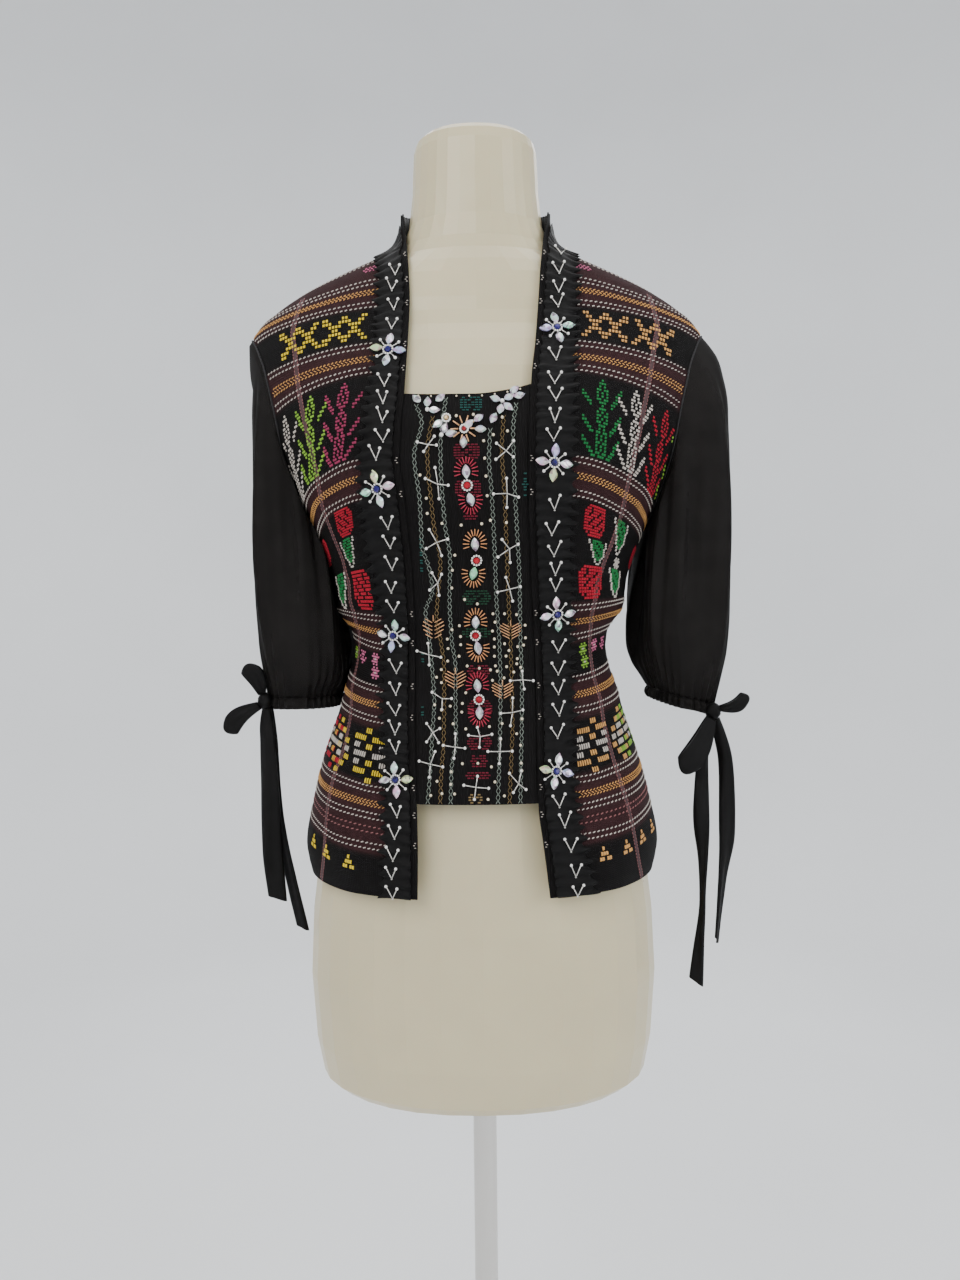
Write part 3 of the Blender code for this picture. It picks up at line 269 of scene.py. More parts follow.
def cloth_point(turn, z, side, back, lift=0.0):
    """The cloth's outer face at a height, turned from the centre line (0) to the side (90 degrees)."""
    power = 2 / (BACK_ROUND if back else FRONT_ROUND)
    sine, cosine = math.sin(turn), max(math.cos(turn), 0.0)
    width = TRUNK_WIDTH(z)
    x = side * width * sine**power
    depth = TRUNK_BACK(z) if back else TRUNK_FRONT(z)
    rise = lift + fold_rise(x, z, BACK_FOLDS if back else FRONT_FOLDS)
    x = side * (width + rise) * sine**power
    y = (depth + rise) * cosine**power
    return np.array((x, y if back else -y, z))


def turn_at(x, z, back):
    """The turn at which the cloth is x from the centre line."""
    share = min(x / TRUNK_WIDTH(z), 1.0)
    return math.asin(share ** ((BACK_ROUND if back else FRONT_ROUND) / 2))


def seam_turn(z, back):
    """The turn at the side or shoulder seam, held half a seam gap off the middle."""
    depth = TRUNK_BACK(z) if back else TRUNK_FRONT(z)
    share = (SEAM_GAP / 2 / depth) ** ((BACK_ROUND if back else FRONT_ROUND) / 2)
    return math.acos(share)


def blend(a, b, share):
    return a + (b - a) * share


def unit(rows):
    """The same directions, each of length 1."""
    return rows / np.maximum(np.linalg.norm(rows, axis=-1, keepdims=True), 1e-12)


def faces_between(low, high, count):
    """Four-sided faces between two rings of points, whose first points are low and high."""
    return [(low + i, low + (i + 1) % count, high + (i + 1) % count, high + i) for i in range(count)]


def turns(count, start=0.0):
    """Even angles once round."""
    return [start + 2 * math.pi * i / count for i in range(count)]


# Colours of the threads, linear
THREADS = {
    "white": (0.52, 0.47, 0.42),
    "orange": (0.60, 0.31, 0.095),
    "yellow": (0.70, 0.50, 0.02),
    "green": (0.005, 0.16, 0.035),
    "pine": (0.003, 0.040, 0.016),
    "lime": (0.20, 0.40, 0.035),
    "magenta": (0.30, 0.028, 0.085),
    "red": (0.38, 0.003, 0.020),
    "wine": (0.14, 0.002, 0.016),
    "pink": (0.60, 0.15, 0.28),
    "teal": (0.008, 0.070, 0.060),
    "gold": (0.21, 0.14, 0.055),
    "mauve": (0.060, 0.028, 0.030),
    "dusty": (0.26, 0.10, 0.10),
    "pale": (0.24, 0.28, 0.24),
}


# A wave texture of this scale has one band to the metre
BAND_SCALE = 0.314


def add_node(tree, kind, inputs=(), **settings):
    """A node with its settings, and values or links for its inputs by name or number."""
    node = tree.nodes.new(kind)
    for key, value in settings.items():
        setattr(node, key, value)
    for key, value in dict(inputs).items():
        if isinstance(value, bpy.types.NodeSocket):
            tree.links.new(value, node.inputs[key])
        else:
            node.inputs[key].default_value = value
    return node


def blank_finish(name, roughness, values):
    """A material, its tree and its shader, with the shader's plain values set on it."""
    material = bpy.data.materials.new(name)
    material.use_nodes = True
    tree = material.node_tree
    shader = tree.nodes["Principled BSDF"]
    shader.inputs["Roughness"].default_value = roughness
    for key, value in values.items():
        shader.inputs[key].default_value = value
    return material, tree, shader


def object_place(tree):
    return add_node(tree, "ShaderNodeTexCoord").outputs["Object"]


def speckle(tree, vector, scale, detail):
    inputs = {"Vector": vector, "Scale": scale, "Detail": detail}
    return add_node(tree, "ShaderNodeTexNoise", inputs).outputs["Fac"]


def bands(tree, vector, scale, distortion, direction):
    """Light and dark by turns, as one set of threads gives."""
    inputs = {"Vector": vector, "Scale": scale, "Distortion": distortion}
    node = add_node(tree, "ShaderNodeTexWave", inputs, wave_type="BANDS", bands_direction=direction)
    return node.outputs["Fac"]


def added(tree, first, second):
    return add_node(tree, "ShaderNodeMath", {0: first, 1: second}, operation="ADD").outputs[0]


def raise_surface(tree, shader, height, strength, distance):
    inputs = {"Height": height, "Strength": strength, "Distance": distance}
    bump = add_node(tree, "ShaderNodeBump", inputs)
    tree.links.new(bump.outputs["Normal"], shader.inputs["Normal"])


def tint(tree, shader, vector, colour, spread, scale):
    """Colours the shader, darker and lighter in soft patches."""
    ramp = add_node(tree, "ShaderNodeValToRGB", {"Fac": speckle(tree, vector, scale, 4.0)})
    for element, position, way in zip(ramp.color_ramp.elements, (0.3, 0.7), (-1, 1)):
        element.position = position
        element.color = (*(min(c * (1 + way * spread), 1.0) for c in colour), 1.0)
    tree.links.new(ramp.outputs["Color"], shader.inputs["Base Color"])


def cloth_finish(name, colour, roughness, pitch, bump, **values):
    """A plain woven cloth: two sets of threads that cross, and a little fuzz."""
    material, tree, shader = blank_finish(name, roughness, values)
    place = object_place(tree)
    tint(tree, shader, place, colour, 0.25, 60.0)
    warp, weft = (bands(tree, place, BAND_SCALE / pitch, 0.6, direction) for direction in "XZ")
    height = added(tree, added(tree, warp, weft), speckle(tree, place, 1600.0, 3.0))
    raise_surface(tree, shader, height, bump, 0.0004)
    return material


def thread_finish(word):
    """Raised pattern thread, with the twist of its strands."""
    values = {"Sheen Weight": 0.04, "Specular IOR Level": 0.22}
    material, tree, shader = blank_finish(f"thread_{word}", 0.68, values)
    place = object_place(tree)
    tint(tree, shader, place, THREADS[word], 0.22, 350.0)
    raise_surface(tree, shader, bands(tree, place, 700.0, 2.0, "DIAGONAL"), 0.6, 0.0003)
    return material


# Heights, at the ribbon's outer edge, between which the ground is maroon instead of black
MAROON_ZONES = (
    (0.893, 0.950), (0.995, 1.030), (1.058, 1.093), (1.181, 1.214), (1.283, 1.312), (1.345, 1.405)
)
GRAIN_LOW, GRAIN_HIGH = 0.84, 1.48


def woven_finish():
    """The trunk cloth: black ground with maroon bands across the grain, ribbed along the weft."""
    ground = bpy.context.scene.kebaya_colours
    values = {"Specular IOR Level": 0.11}
    material, tree, shader = blank_finish("woven_ground", 0.82, values)
    grain = add_node(tree, "ShaderNodeUVMap", uv_map="grain").outputs["UV"]
    across = add_node(tree, "ShaderNodeSeparateXYZ", {"Vector": grain}).outputs["Y"]
    ramp = add_node(tree, "ShaderNodeValToRGB", {"Fac": across})
    scale = ramp.color_ramp
    black, maroon = (*ground.black_ground, 1.0), (*ground.maroon_ground, 1.0)
    scale.elements[0].position, scale.elements[0].color = 0.0, black
    scale.elements[1].position, scale.elements[1].color = 1.0, black
    for low, high in MAROON_ZONES:
        for edge, way, colour in ((low, -1, black), (low, 1, maroon), (high, -1, maroon), (high, 1, black)):
            share = (edge + way * 0.0008 - GRAIN_LOW) / (GRAIN_HIGH - GRAIN_LOW)
            scale.elements.new(share).color = colour
    patches = speckle(tree, object_place(tree), 240.0, 6.0)
    shade = add_node(tree, "ShaderNodeMapRange", {"Value": patches, "To Min": 0.55, "To Max": 1.45})
    mixed = add_node(
        tree, "ShaderNodeVectorMath", {0: ramp.outputs["Color"], "Scale": shade.outputs["Result"]},
        operation="SCALE",
    )
    tree.links.new(mixed.outputs["Vector"], shader.inputs["Base Color"])
    height = added(tree, bands(tree, grain, 118.0, 0.5, "Y"), bands(tree, grain, 150.0, 0.5, "X"))
    raise_surface(tree, shader, height, 0.55, 0.0005)
    return material


# A cut stone's painted glints and painted shade, by share of its facets: a tint of its light colour for a
# painted glint, or None for its dark colour, a painted shade
PAINTED_GLINT_FACETS = (
    (0.30, (1.0, 1.0, 1.0)), (0.40, (1.0, 0.70, 0.95)), (0.50, None), (0.58, (1.0, 1.0, 1.0)),
    (0.70, (0.64, 1.0, 0.80)), (0.82, (0.72, 0.80, 1.0)),
)


def stone_finish(name, light, dark, shine, metallic):
    """A foil-backed cut stone whose colour turns from facet to facet: painted glints in its light colour and
    painted shade in its dark colour, cell by cell.
    """
    values = {"Metallic": metallic, "Coat Weight": shine, "Specular IOR Level": shine}
    material, tree, shader = blank_finish(name, 0.08, values)
    place = object_place(tree)
    # Cells that stand for facets, each painted as a glint or as shade
    cells = add_node(tree, "ShaderNodeTexVoronoi", {"Vector": place, "Scale": 380.0})
    ramp = add_node(tree, "ShaderNodeValToRGB", {"Fac": cells.outputs["Color"]})
    scale = ramp.color_ramp
    scale.elements[0].color, scale.elements[1].color = (*dark, 1.0), (*light, 1.0)
    for share, hue in PAINTED_GLINT_FACETS:
        colour = [c * t for c, t in zip(light, hue)] if hue else dark
        scale.elements.new(share).color = (*colour, 1.0)
    tree.links.new(ramp.outputs["Color"], shader.inputs["Base Color"])
    raise_surface(tree, shader, speckle(tree, place, 900.0, 2.0), 0.06, 0.0002)
    return material


def smooth_finish(name, colour, roughness, spread, scale, bump, stretch=(1.0, 1.0, 1.0), **values):
    """A moulded, drawn or polished surface: soft patches and fine marks, drawn out one way if asked."""
    material, tree, shader = blank_finish(name, roughness, values)
    inputs = {"Vector": object_place(tree), "Scale": stretch}
    moved = add_node(tree, "ShaderNodeMapping", inputs).outputs["Vector"]
    tint(tree, shader, moved, colour, spread, scale)
    marks = speckle(tree, moved, scale * 9, 5.0)
    raise_surface(tree, shader, marks, bump, 0.0005)
    inputs = {"Value": marks, "To Min": roughness * 0.85, "To Max": roughness * 1.15}
    rough = add_node(tree, "ShaderNodeMapRange", inputs)
    tree.links.new(rough.outputs["Result"], shader.inputs["Roughness"])
    return material


# Painted shade on the dark facets of the pale stones; each stone's light colour is its painted glint
PAINTED_SHADE_FACET = (0.13, 0.12, 0.15)
Stone = namedtuple("Stone", "word name light dark shine metallic", defaults=(PAINTED_SHADE_FACET, 0.8, 0.35))
STONES = (
    Stone("crystal", "clear_crystal", (0.84, 0.82, 0.83)),
    Stone("lilac_stone", "lilac_crystal", (0.62, 0.56, 0.84)),
    Stone("lime_stone", "lime_crystal", (0.76, 0.84, 0.46)),
    Stone("rose_stone", "rose_crystal", (0.84, 0.62, 0.70)),
    Stone("mint_stone", "mint_crystal", (0.50, 0.84, 0.64)),
    Stone("blue", "blue_crystal", (0.020, 0.014, 0.14), (0.004, 0.003, 0.03), 0.25, 0.1),
    Stone("ruby", "red_crystal", (0.42, 0.008, 0.020), (0.14, 0.002, 0.006), 0.25, 0.1),
    Stone("green_stone", "green_crystal", (0.34, 0.72, 0.44), (0.06, 0.22, 0.12), 0.6, 0.2),
    Stone("amber", "amber_crystal", (0.80, 0.62, 0.26), (0.30, 0.18, 0.06), 0.6, 0.2),
)
Bead = namedtuple("Bead", "word name colour roughness spread scale bump metallic coat sheen")
BEADS = (
    Bead("pearl", "white_pearl", (0.86, 0.84, 0.80), 0.22, 0.08, 300.0, 0.04, 0.0, 0.6, 0.2),
    Bead("cream", "cream_pearl", (0.80, 0.70, 0.50), 0.25, 0.12, 300.0, 0.04, 0.0, 0.5, 0.2),
    Bead("silver", "silver_tube", (0.66, 0.64, 0.60), 0.28, 0.12, 400.0, 0.05, 0.85, 0.0, 0.0),
    Bead("bronze", "bronze_tube", (0.66, 0.36, 0.18), 0.28, 0.15, 400.0, 0.05, 0.8, 0.0, 0.0),
    Bead("red_tube", "red_tube", (0.42, 0.015, 0.045), 0.30, 0.15, 400.0, 0.05, 0.4, 0.4, 0.0),
    Bead("orange_tube", "orange_tube", (0.66, 0.30, 0.13), 0.30, 0.15, 400.0, 0.05, 0.5, 0.0, 0.0),
)


def make_finishes():
    """Every finish by name, made once."""
    colours = bpy.context.scene.kebaya_colours
    made = {word: thread_finish(word) for word in THREADS}
    made["woven"] = woven_finish()
    made["satin"] = cloth_finish(
        "black_satin", colours.satin, 0.48, 0.0007, 0.30, **{"Specular IOR Level": 0.12}
    )
    made["sheer"] = cloth_finish(
        "sheer_cloth", colours.sheer, 0.75, 0.0008, 0.06, **{"Specular IOR Level": 0.10, "Alpha": 0.95}
    )
    made["seam"] = cloth_finish("seam_cloth", (0.010, 0.009, 0.010), 0.8, 0.0009, 0.4)
    for stone in STONES:
        made[stone.word] = stone_finish(*stone[1:])
    for bead in BEADS:
        values = {"Metallic": bead.metallic, "Coat Weight": bead.coat, "Sheen Weight": bead.sheen}
        made[bead.word] = smooth_finish(*bead[1:7], **values)
    return made


FINISHES = {}


def finish(word):
    if not FINISHES:
        FINISHES.update(make_finishes())
    return FINISHES[word]


def placed(name, mesh, node_names):
    """An object in the scene that rides with the solids and stands for the named ones."""
    made = bpy.data.objects.new(name, mesh)
    bpy.context.scene.collection.objects.link(made)
    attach(made, "root")
    if node_names:
        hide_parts(*node_names)
    return made


def sewn_wall(name, outside, inside, word, node_names=(), tube=False, grain=None):
    """A closed cloth wall between two grids of points; a tube joins each row's end to its start."""
    rows, columns = outside.shape[:2]
    count = rows * columns
    points = np.concatenate((outside.reshape(-1, 3), inside.reshape(-1, 3)))
    index = np.arange(count).reshape(rows, columns)
    if tube:
        index = np.concatenate((index, index[:, :1]), axis=1)
    low, high = index[:-1], index[1:]
    quads = np.stack((low[:, :-1], low[:, 1:], high[:, 1:], high[:, :-1]), axis=-1).reshape(-1, 4)
    rims = []
    borders = [(index[0, 1:], index[0, :-1]), (index[-1, :-1], index[-1, 1:])]
    if not tube:
        borders += [(index[:-1, 0], index[1:, 0]), (index[1:, -1], index[:-1, -1])]
    for first, second in borders:
        rims.append(np.stack((first, second, second + count, first + count), axis=-1))
    faces = np.concatenate((quads, quads[:, ::-1] + count, *rims))
    mesh = bpy.data.meshes.new(name)
    mesh.from_pydata(points.tolist(), [], faces.tolist())
    if grain is not None:
        flat = np.concatenate((grain.reshape(-1, 2),) * 2)
        corner = np.empty(len(mesh.loops), dtype=np.int32)
        mesh.loops.foreach_get("vertex_index", corner)
        mesh.uv_layers.new(name="grain").data.foreach_set("uv", flat[corner].ravel())
    body = bmesh.new()
    body.from_mesh(mesh)
    if body.calc_volume(signed=True) < 0:
        bmesh.ops.reverse_faces(body, faces=body.faces)
    body.to_mesh(mesh)
    body.free()
    mesh.shade_smooth()
    mesh.set_sharp_from_angle(angle=math.radians(60))
    mesh.materials.append(finish(word))
    return placed(name, mesh, node_names)


class Heap:
    """Small closed shapes gathered into one mesh, with a finish for each."""

    def __init__(self):
        self.points, self.faces, self.kinds, self.smooth, self.words = [], [], [], [], []

    def add(self, points, faces, word, smooth=False):
        if word not in self.words:
            self.words.append(word)
        base = len(self.points)
        self.points.extend(points)
        self.faces.extend([base + i for i in face] for face in faces)
        self.kinds.extend([self.words.index(word)] * len(faces))
        self.smooth.extend([smooth] * len(faces))

    def build(self, name, slot, node_names=()):
        mesh = bpy.data.meshes.new(name)
        mesh.from_pydata(self.points, [], self.faces)
        mesh.polygons.foreach_set("material_index", self.kinds)
        mesh.polygons.foreach_set("use_smooth", self.smooth)
        for word in self.words:
            mesh.materials.append(finish(word))
        mesh.update()
        return placed(name, mesh, node_names)


class Ground:
    """The meshes that stitches and beads are seated on."""

    def __init__(self, *items):
        points, faces = [], []
        for item in items:
            base = len(points)
            points += [vertex.co.copy() for vertex in item.data.vertices]
            faces += [[base + i for i in face.vertices] for face in item.data.polygons]
        self.tree = BVHTree.FromPolygons(points, faces)

    def seat(self, point, normal, reach=0.012):
        """The place on the ground under a point, or the point itself where there is none."""
        hit = self.tree.ray_cast(point + normal * reach, -normal, 2.5 * reach)
        return hit[0] if hit[0] is not None else point


STITCH_FACES = [(3, 2, 1, 0), (4, 5, 6, 7)] + faces_between(0, 4, 4)
# How deep a stitch's foot is sunk, and how much its top is drawn in along and across
STITCH_SINK, STITCH_TOP_LENGTH, STITCH_TOP_WIDTH = 0.4, 0.8, 0.55


def stitch(heap, centre, along, normal, length, width, height, word):
    """A low pillow of thread on the cloth, sunk a little at its foot."""
    across = normal.cross(along).normalized()
    along = across.cross(normal).normalized()
    half, side = along * (length / 2), across * (width / 2)
    points = []
    for middle, long, wide in (
        (centre - normal * height * STITCH_SINK, 1.0, 1.0),
        (centre + normal * height, STITCH_TOP_LENGTH, STITCH_TOP_WIDTH),
    ):
        for a, b in ((-1, -1), (1, -1), (1, 1), (-1, 1)):
            points.append(middle + half * a * long + side * b * wide)
    heap.add(points, STITCH_FACES, word)


TUBE_SIDES = 6
TUBE_END_SHARE = 0.55


def tube_bead(heap, start, end, radius, word):
    """A tube bead between two points, with its ends turned in."""
    along = (end - start).normalized()
    first = along.orthogonal().normalized()
    second = along.cross(first)
    shoulder = along * radius * 0.6
    points = []
    for place, share in (
        (start, TUBE_END_SHARE), (start + shoulder, 1.0), (end - shoulder, 1.0), (end, TUBE_END_SHARE),
    ):
        for angle in turns(TUBE_SIDES):
            points.append(place + (first * math.cos(angle) + second * math.sin(angle)) * radius * share)
    faces = [tuple(reversed(range(TUBE_SIDES))), tuple(range(3 * TUBE_SIDES, 4 * TUBE_SIDES))]
    for ring in range(3):
        faces += faces_between(ring * TUBE_SIDES, (ring + 1) * TUBE_SIDES, TUBE_SIDES)
    heap.add(points, faces, word, True)


def make_ball(rings=5, sides=8):
    """Points and faces of a ball of radius 1."""
    points, faces = [Vector((0, 0, -1))], []
    for ring in range(1, rings):
        height = math.pi * ring / rings
        for angle in turns(sides, math.pi * ring / sides):
            out = math.sin(height)
            points.append(Vector((out * math.cos(angle), out * math.sin(angle), -math.cos(height))))
    points.append(Vector((0, 0, 1)))
    last = len(points) - 1
    for i in range(sides):
        j = (i + 1) % sides
        faces += [(0, 1 + j, 1 + i), (last, last - sides + i, last - sides + j)]
    for ring in range(rings - 2):
        faces += faces_between(1 + ring * sides, 1 + (ring + 1) * sides, sides)
    return points, faces


BALL_POINTS, BALL_FACES = make_ball()


def round_bead(heap, centre, radius, word):
    heap.add([centre + p * radius for p in BALL_POINTS], BALL_FACES, word, True)


# Half outlines of the cut stones: share of the length, share of the width
NAVETTE = ((0.0, 0.0), (0.16, 0.52), (0.36, 0.92), (0.5, 1.0), (0.64, 0.92), (0.84, 0.52), (1.0, 0.0))
DROP = ((0.0, 0.12), (0.14, 0.62), (0.34, 0.98), (0.5, 1.0), (0.70, 0.72), (0.88, 0.30), (1.0, 0.0))
ROUND = tuple((0.5 - 0.5 * math.cos(math.pi * i / 5), math.sin(math.pi * i / 5)) for i in range(6))


def cut_stone(heap, centre, along, normal, length, width, height, word, outline=NAVETTE):
    """A faceted stone: an edge, a sloping crown and a flat table."""
    across = normal.cross(along).normalized()
    along = across.cross(normal).normalized()
    ring = [(s - 0.5, w / 2) for s, w in outline] + [(s - 0.5, -w / 2) for s, w in reversed(outline[1:-1])]
    if outline[0][1] > 0:
        ring.append((outline[0][0] - 0.5, -outline[0][1] / 2))
    count = len(ring)
    points = []
    for share, rise in ((0.86, -0.25), (1.0, 0.35), (0.58, 1.0)):
        points += [
            centre + along * s * length * share + across * w * width * share + normal * height * rise
            for s, w in ring
        ]
    faces = [tuple(reversed(range(count))), tuple(range(2 * count, 3 * count))]
    for layer in range(2):
        for i in range(count):
            j = (i + 1) % count
            low, high = layer * count, (layer + 1) * count
            faces.append((low + i, low + j, high + j))
            faces.append((low + i, high + j, high + i))
    if normal.dot((points[1] - points[0]).cross(points[2] - points[1])) < 0:
        faces = [tuple(reversed(face)) for face in faces]
    heap.add(points, faces, word)


# Grain of the woven cloth: how far a weft line has dropped or risen by the side seam
Drop = namedtuple("Drop", "z by")
GRAIN_DROP = (
    Drop(0.856, 0.014), Drop(0.900, 0.013), Drop(0.945, 0.012), Drop(1.000, 0.010), Drop(1.030, 0.010),
    Drop(1.080, 0.009), Drop(1.110, -0.003), Drop(1.150, -0.020), Drop(1.197, -0.035), Drop(1.245, -0.037),
    Drop(1.286, -0.033), Drop(1.308, -0.022), Drop(1.348, -0.020), Drop(1.365, -0.025), Drop(1.440, -0.025),
)
DROP_BY = Profile(GRAIN_DROP, "by")
FRONT_BEND, BACK_BEND = 1.6, 3.0
LEAN = 0.0035
EDGES = {-1: Profile(EDGE_LEFT, "outer"), 1: Profile(EDGE_RIGHT, "outer")}
INNER_EDGES = {-1: Profile(EDGE_LEFT, "inner"), 1: Profile(EDGE_RIGHT, "inner")}
REACH = {back: Profile(ARMHOLE, "back" if back else "front") for back in (False, True)}


def grain_offset(weft, share, side, back):
    """How far above its own height a weft line runs, by its share of the way to the side."""
    lean = 0.0 if back else side * LEAN * min(max((1.15 - weft) / 0.05, 0.0), 1.0)
    return lean + DROP_BY(weft) * max(share, 0.0) ** (BACK_BEND if back else FRONT_BEND)


def side_share(x, z, side, back):
    start = 0.0 if back else EDGES[side](z)
    return min((x - start) / max(TRUNK_WIDTH(z) - start, 0.02), 1.0)


def weft_at(x, z, side, back):
    """The weft line that passes a point of the cloth."""
    weft, share = z, side_share(x, z, side, back)
    for _ in range(5):
        weft = z - grain_offset(weft, share, side, back)
    return weft


WeftStep = namedtuple("WeftStep", "along point x")
WEFT_LINES = {}
WEFT_STEPS = 90


def weft_line(weft, side, back):
    """Points along a weft line, from the ribbon's edge or the back's middle to the side."""
    key = (round(weft, 5), side, back)
    if key in WEFT_LINES:
        return WEFT_LINES[key]
    power = 2 / (BACK_ROUND if back else FRONT_ROUND)
    steps, along = [], 0.0
    start = 0.0 if back else turn_at(EDGES[side](weft) - 0.003, weft, False)
    for i in range(WEFT_STEPS + 1):
        turn = blend(start, math.pi / 2 - 0.004, i / WEFT_STEPS)
        z = weft
        for _ in range(3):
            x = TRUNK_WIDTH(z) * math.sin(turn) ** power
            z = weft + grain_offset(weft, side_share(x, z, side, back), side, back)
        if UNDERARM_Z < z < SHOULDER_TIP_Z and x > REACH[back](z) - 0.0015:
            break
        point = Vector(cloth_point(turn, z, side, back))
        if steps:
            along += (point - steps[-1].point).length
        steps.append(WeftStep(along, point, x))
    WEFT_LINES[key] = steps
    return steps


def spot(steps, along):
    """The point and direction at a distance along a weft line, or None past its end."""
    if along < 0 or along > steps[-1].along:
        return None
    low, high = 0, len(steps) - 1
    while high - low > 1:
        middle = (low + high) // 2
        if steps[middle].along <= along:
            low = middle
        else:
            high = middle
    here, after = steps[low], steps[high]
    share = (along - here.along) / max(after.along - here.along, 1e-9)
    return here.point.lerp(after.point, share), (after.point - here.point).normalized()


def out_from(point, back):
    """Unit normal of the trunk's own shape at a point, facing out."""
    x, y, z = point
    power = BACK_ROUND if back else FRONT_ROUND
    width = TRUNK_WIDTH(z)
    depth_at = TRUNK_BACK if back else TRUNK_FRONT
    depth = depth_at(z)
    reach = 0.004
    slope_width = (TRUNK_WIDTH(z + reach) - TRUNK_WIDTH(z - reach)) / (2 * reach)
    slope_depth = (depth_at(z + reach) - depth_at(z - reach)) / (2 * reach)
    part_x = min(abs(x) / width, 1.0)
    part_y = min(abs(y) / depth, 1.0)
    normal = Vector((
        math.copysign(part_x ** (power - 1) / width, x),
        math.copysign(part_y ** (power - 1) / depth, y),
        -(part_x**power * slope_width / width + part_y**power * slope_depth / depth),
    ))
    return normal.normalized()


HEM_FOLD = 0.012
HEM_LIFT = 0.0004
ROW_STEPS = 5
BAND_COLUMNS, SIDE_COLUMNS = 8, 34
BACK_NECK, BACK_SHOULDER = 12, 24
BACK_MIDDLE_SHARE = 3 / 8
# Columns at a front's edge that stay black, and the black ground's place in the grain's range
EDGE_COLUMNS, PLAIN_GRAIN = 3, 0.05


def panel_rows():
    """Rows of a panel: height at the armhole, at the ribbon's outer edge and at its inner edge."""
    rows = [(z, z, z) for z in LOW_LEVELS] + [tuple(level) for level in HIGH_LEVELS]
    fine = []
    for first, second in zip(rows, rows[1:]):
        for i in range(ROW_STEPS):
            fine.append(tuple(blend(a, b, i / ROW_STEPS) for a, b in zip(first, second)))
    return fine + [rows[-1]]


def side_turn(z, back):
    """The turn at the side seam, or at the armhole above the underarm."""
    if z <= UNDERARM_Z or z >= SHOULDER_TIP_Z:
        return seam_turn(z, back)
    return min(turn_at(REACH[back](z), z, back), seam_turn(z, back))


def hem_lift(z):
    return HEM_LIFT if z < HEM_Z + HEM_FOLD else 0.0


def surface_normals(grid):
    """Unit normals of a trunk grid, facing out; at a side or shoulder seam they keep to its plane."""
    normals = np.cross(np.gradient(grid, axis=1), np.gradient(grid, axis=0))
    normals[np.abs(grid[:, :, 1]) < SEAM_GAP, 1] = 0.0
    normals = unit(normals)
    return -normals if ((grid - TRUNK_MIDDLE) * normals).sum() < 0 else normals


def grain_map(grid, back):
    """The weave's own coordinates: metres across, and the weft line as a share of its range."""
    mapped = np.empty((*grid.shape[:2], 2))
    for row, points in enumerate(grid):
        for column, (x, y, z) in enumerate(points):
            side = -1 if x < 0 else 1
            weft = weft_at(abs(x), z, side, back)
            mapped[row, column] = (x - side * abs(y) * 0.6, (weft - GRAIN_LOW) / (GRAIN_HIGH - GRAIN_LOW))
    return mapped


def front_surface(side):
    inner, outer = INNER_EDGES[side], EDGES[side]
    grid = []
    for z_side, z_outer, z_inner in panel_rows():
        turn_inner = turn_at(inner(z_inner), z_inner, False)
        turn_outer = turn_at(outer(z_outer), z_outer, False)
        if z_outer == NECK_SIDE_Z:
            turn_inner, turn_outer = seam_turn(z_inner, False), seam_turn(z_outer, False)
        turn_side = side_turn(z_side, False)
        places = []
        for column in range(BAND_COLUMNS):
            share = column / BAND_COLUMNS
            places.append((blend(turn_inner, turn_outer, share), blend(z_inner, z_outer, share)))
        for column in range(SIDE_COLUMNS + 1):
            share = column / SIDE_COLUMNS
            places.append((blend(turn_outer, turn_side, share), blend(z_outer, z_side, share)))
        grid.append([cloth_point(turn, z, side, False, hem_lift(z)) for turn, z in places])
    return np.array(grid)


def back_surface():
    columns = BACK_NECK + BACK_SHOULDER
    rows = panel_rows()
    low = (len(LOW_LEVELS) - 1) * ROW_STEPS
    top = []
    for column in range(columns + 1):
        if column <= BACK_NECK:
            share = column / BACK_NECK
            z = NAPE_Z + (NECK_SIDE_Z - NAPE_Z) * share**2
            top.append((seam_turn(z, True) * share, z))
        else:
            z = blend(NECK_SIDE_Z, SHOULDER_TIP_Z, (column - BACK_NECK) / BACK_SHOULDER)
            top.append((seam_turn(z, True), z))
    shares = [BACK_MIDDLE_SHARE * c / BACK_NECK for c in range(BACK_NECK)]
    shares += [blend(BACK_MIDDLE_SHARE, 1.0, c / BACK_SHOULDER) for c in range(BACK_SHOULDER + 1)]
    grid = []
    for row, (z_side, _, _) in enumerate(rows):
        turn_side = side_turn(z_side, True)
        z_middle = z_side if row <= low else blend(UNDERARM_Z, NAPE_Z, (row - low) / (len(rows) - 1 - low))
        pull = (row / (len(rows) - 1)) ** 5
        places = []
        for share, (top_turn, top_z) in zip(shares, top):
            turn = blend(0.0, turn_side, share)
            turn += pull * (top_turn - blend(top[0][0], top[-1][0], share))
            z = blend(z_middle, z_side, share)
            z += pull * (top_z - blend(top[0][1], top[-1][1], share))
            places.append((turn, z))
        left = [cloth_point(turn, z, -1, True, hem_lift(z)) for turn, z in reversed(places[1:])]
        grid.append(left + [cloth_point(turn, z, 1, True, hem_lift(z)) for turn, z in places])
    return np.array(grid)


PanelTop = namedtuple("PanelTop", "x z")
PANEL_TOP = rows_of(
    PanelTop,
    (-0.056, 1.2652), (-0.030, 1.2636), (0.000, 1.2634), (0.025, 1.2668), (0.046, 1.2732),
)
PANEL_TOP_AT = Profile(PANEL_TOP, "z", "x")
PANEL_TUCK = 0.0045
PANEL_ROWS, PANEL_COLUMNS = 60, 40


def panel_point(x, z, lift=0.0):
    """A point of the centre panel's face, behind the fronts' edges."""
    point = cloth_point(turn_at(abs(x), z, False), z, -1 if x < 0 else 1, False, lift - PANEL_DEPTH)
    point[0] = x
    return point


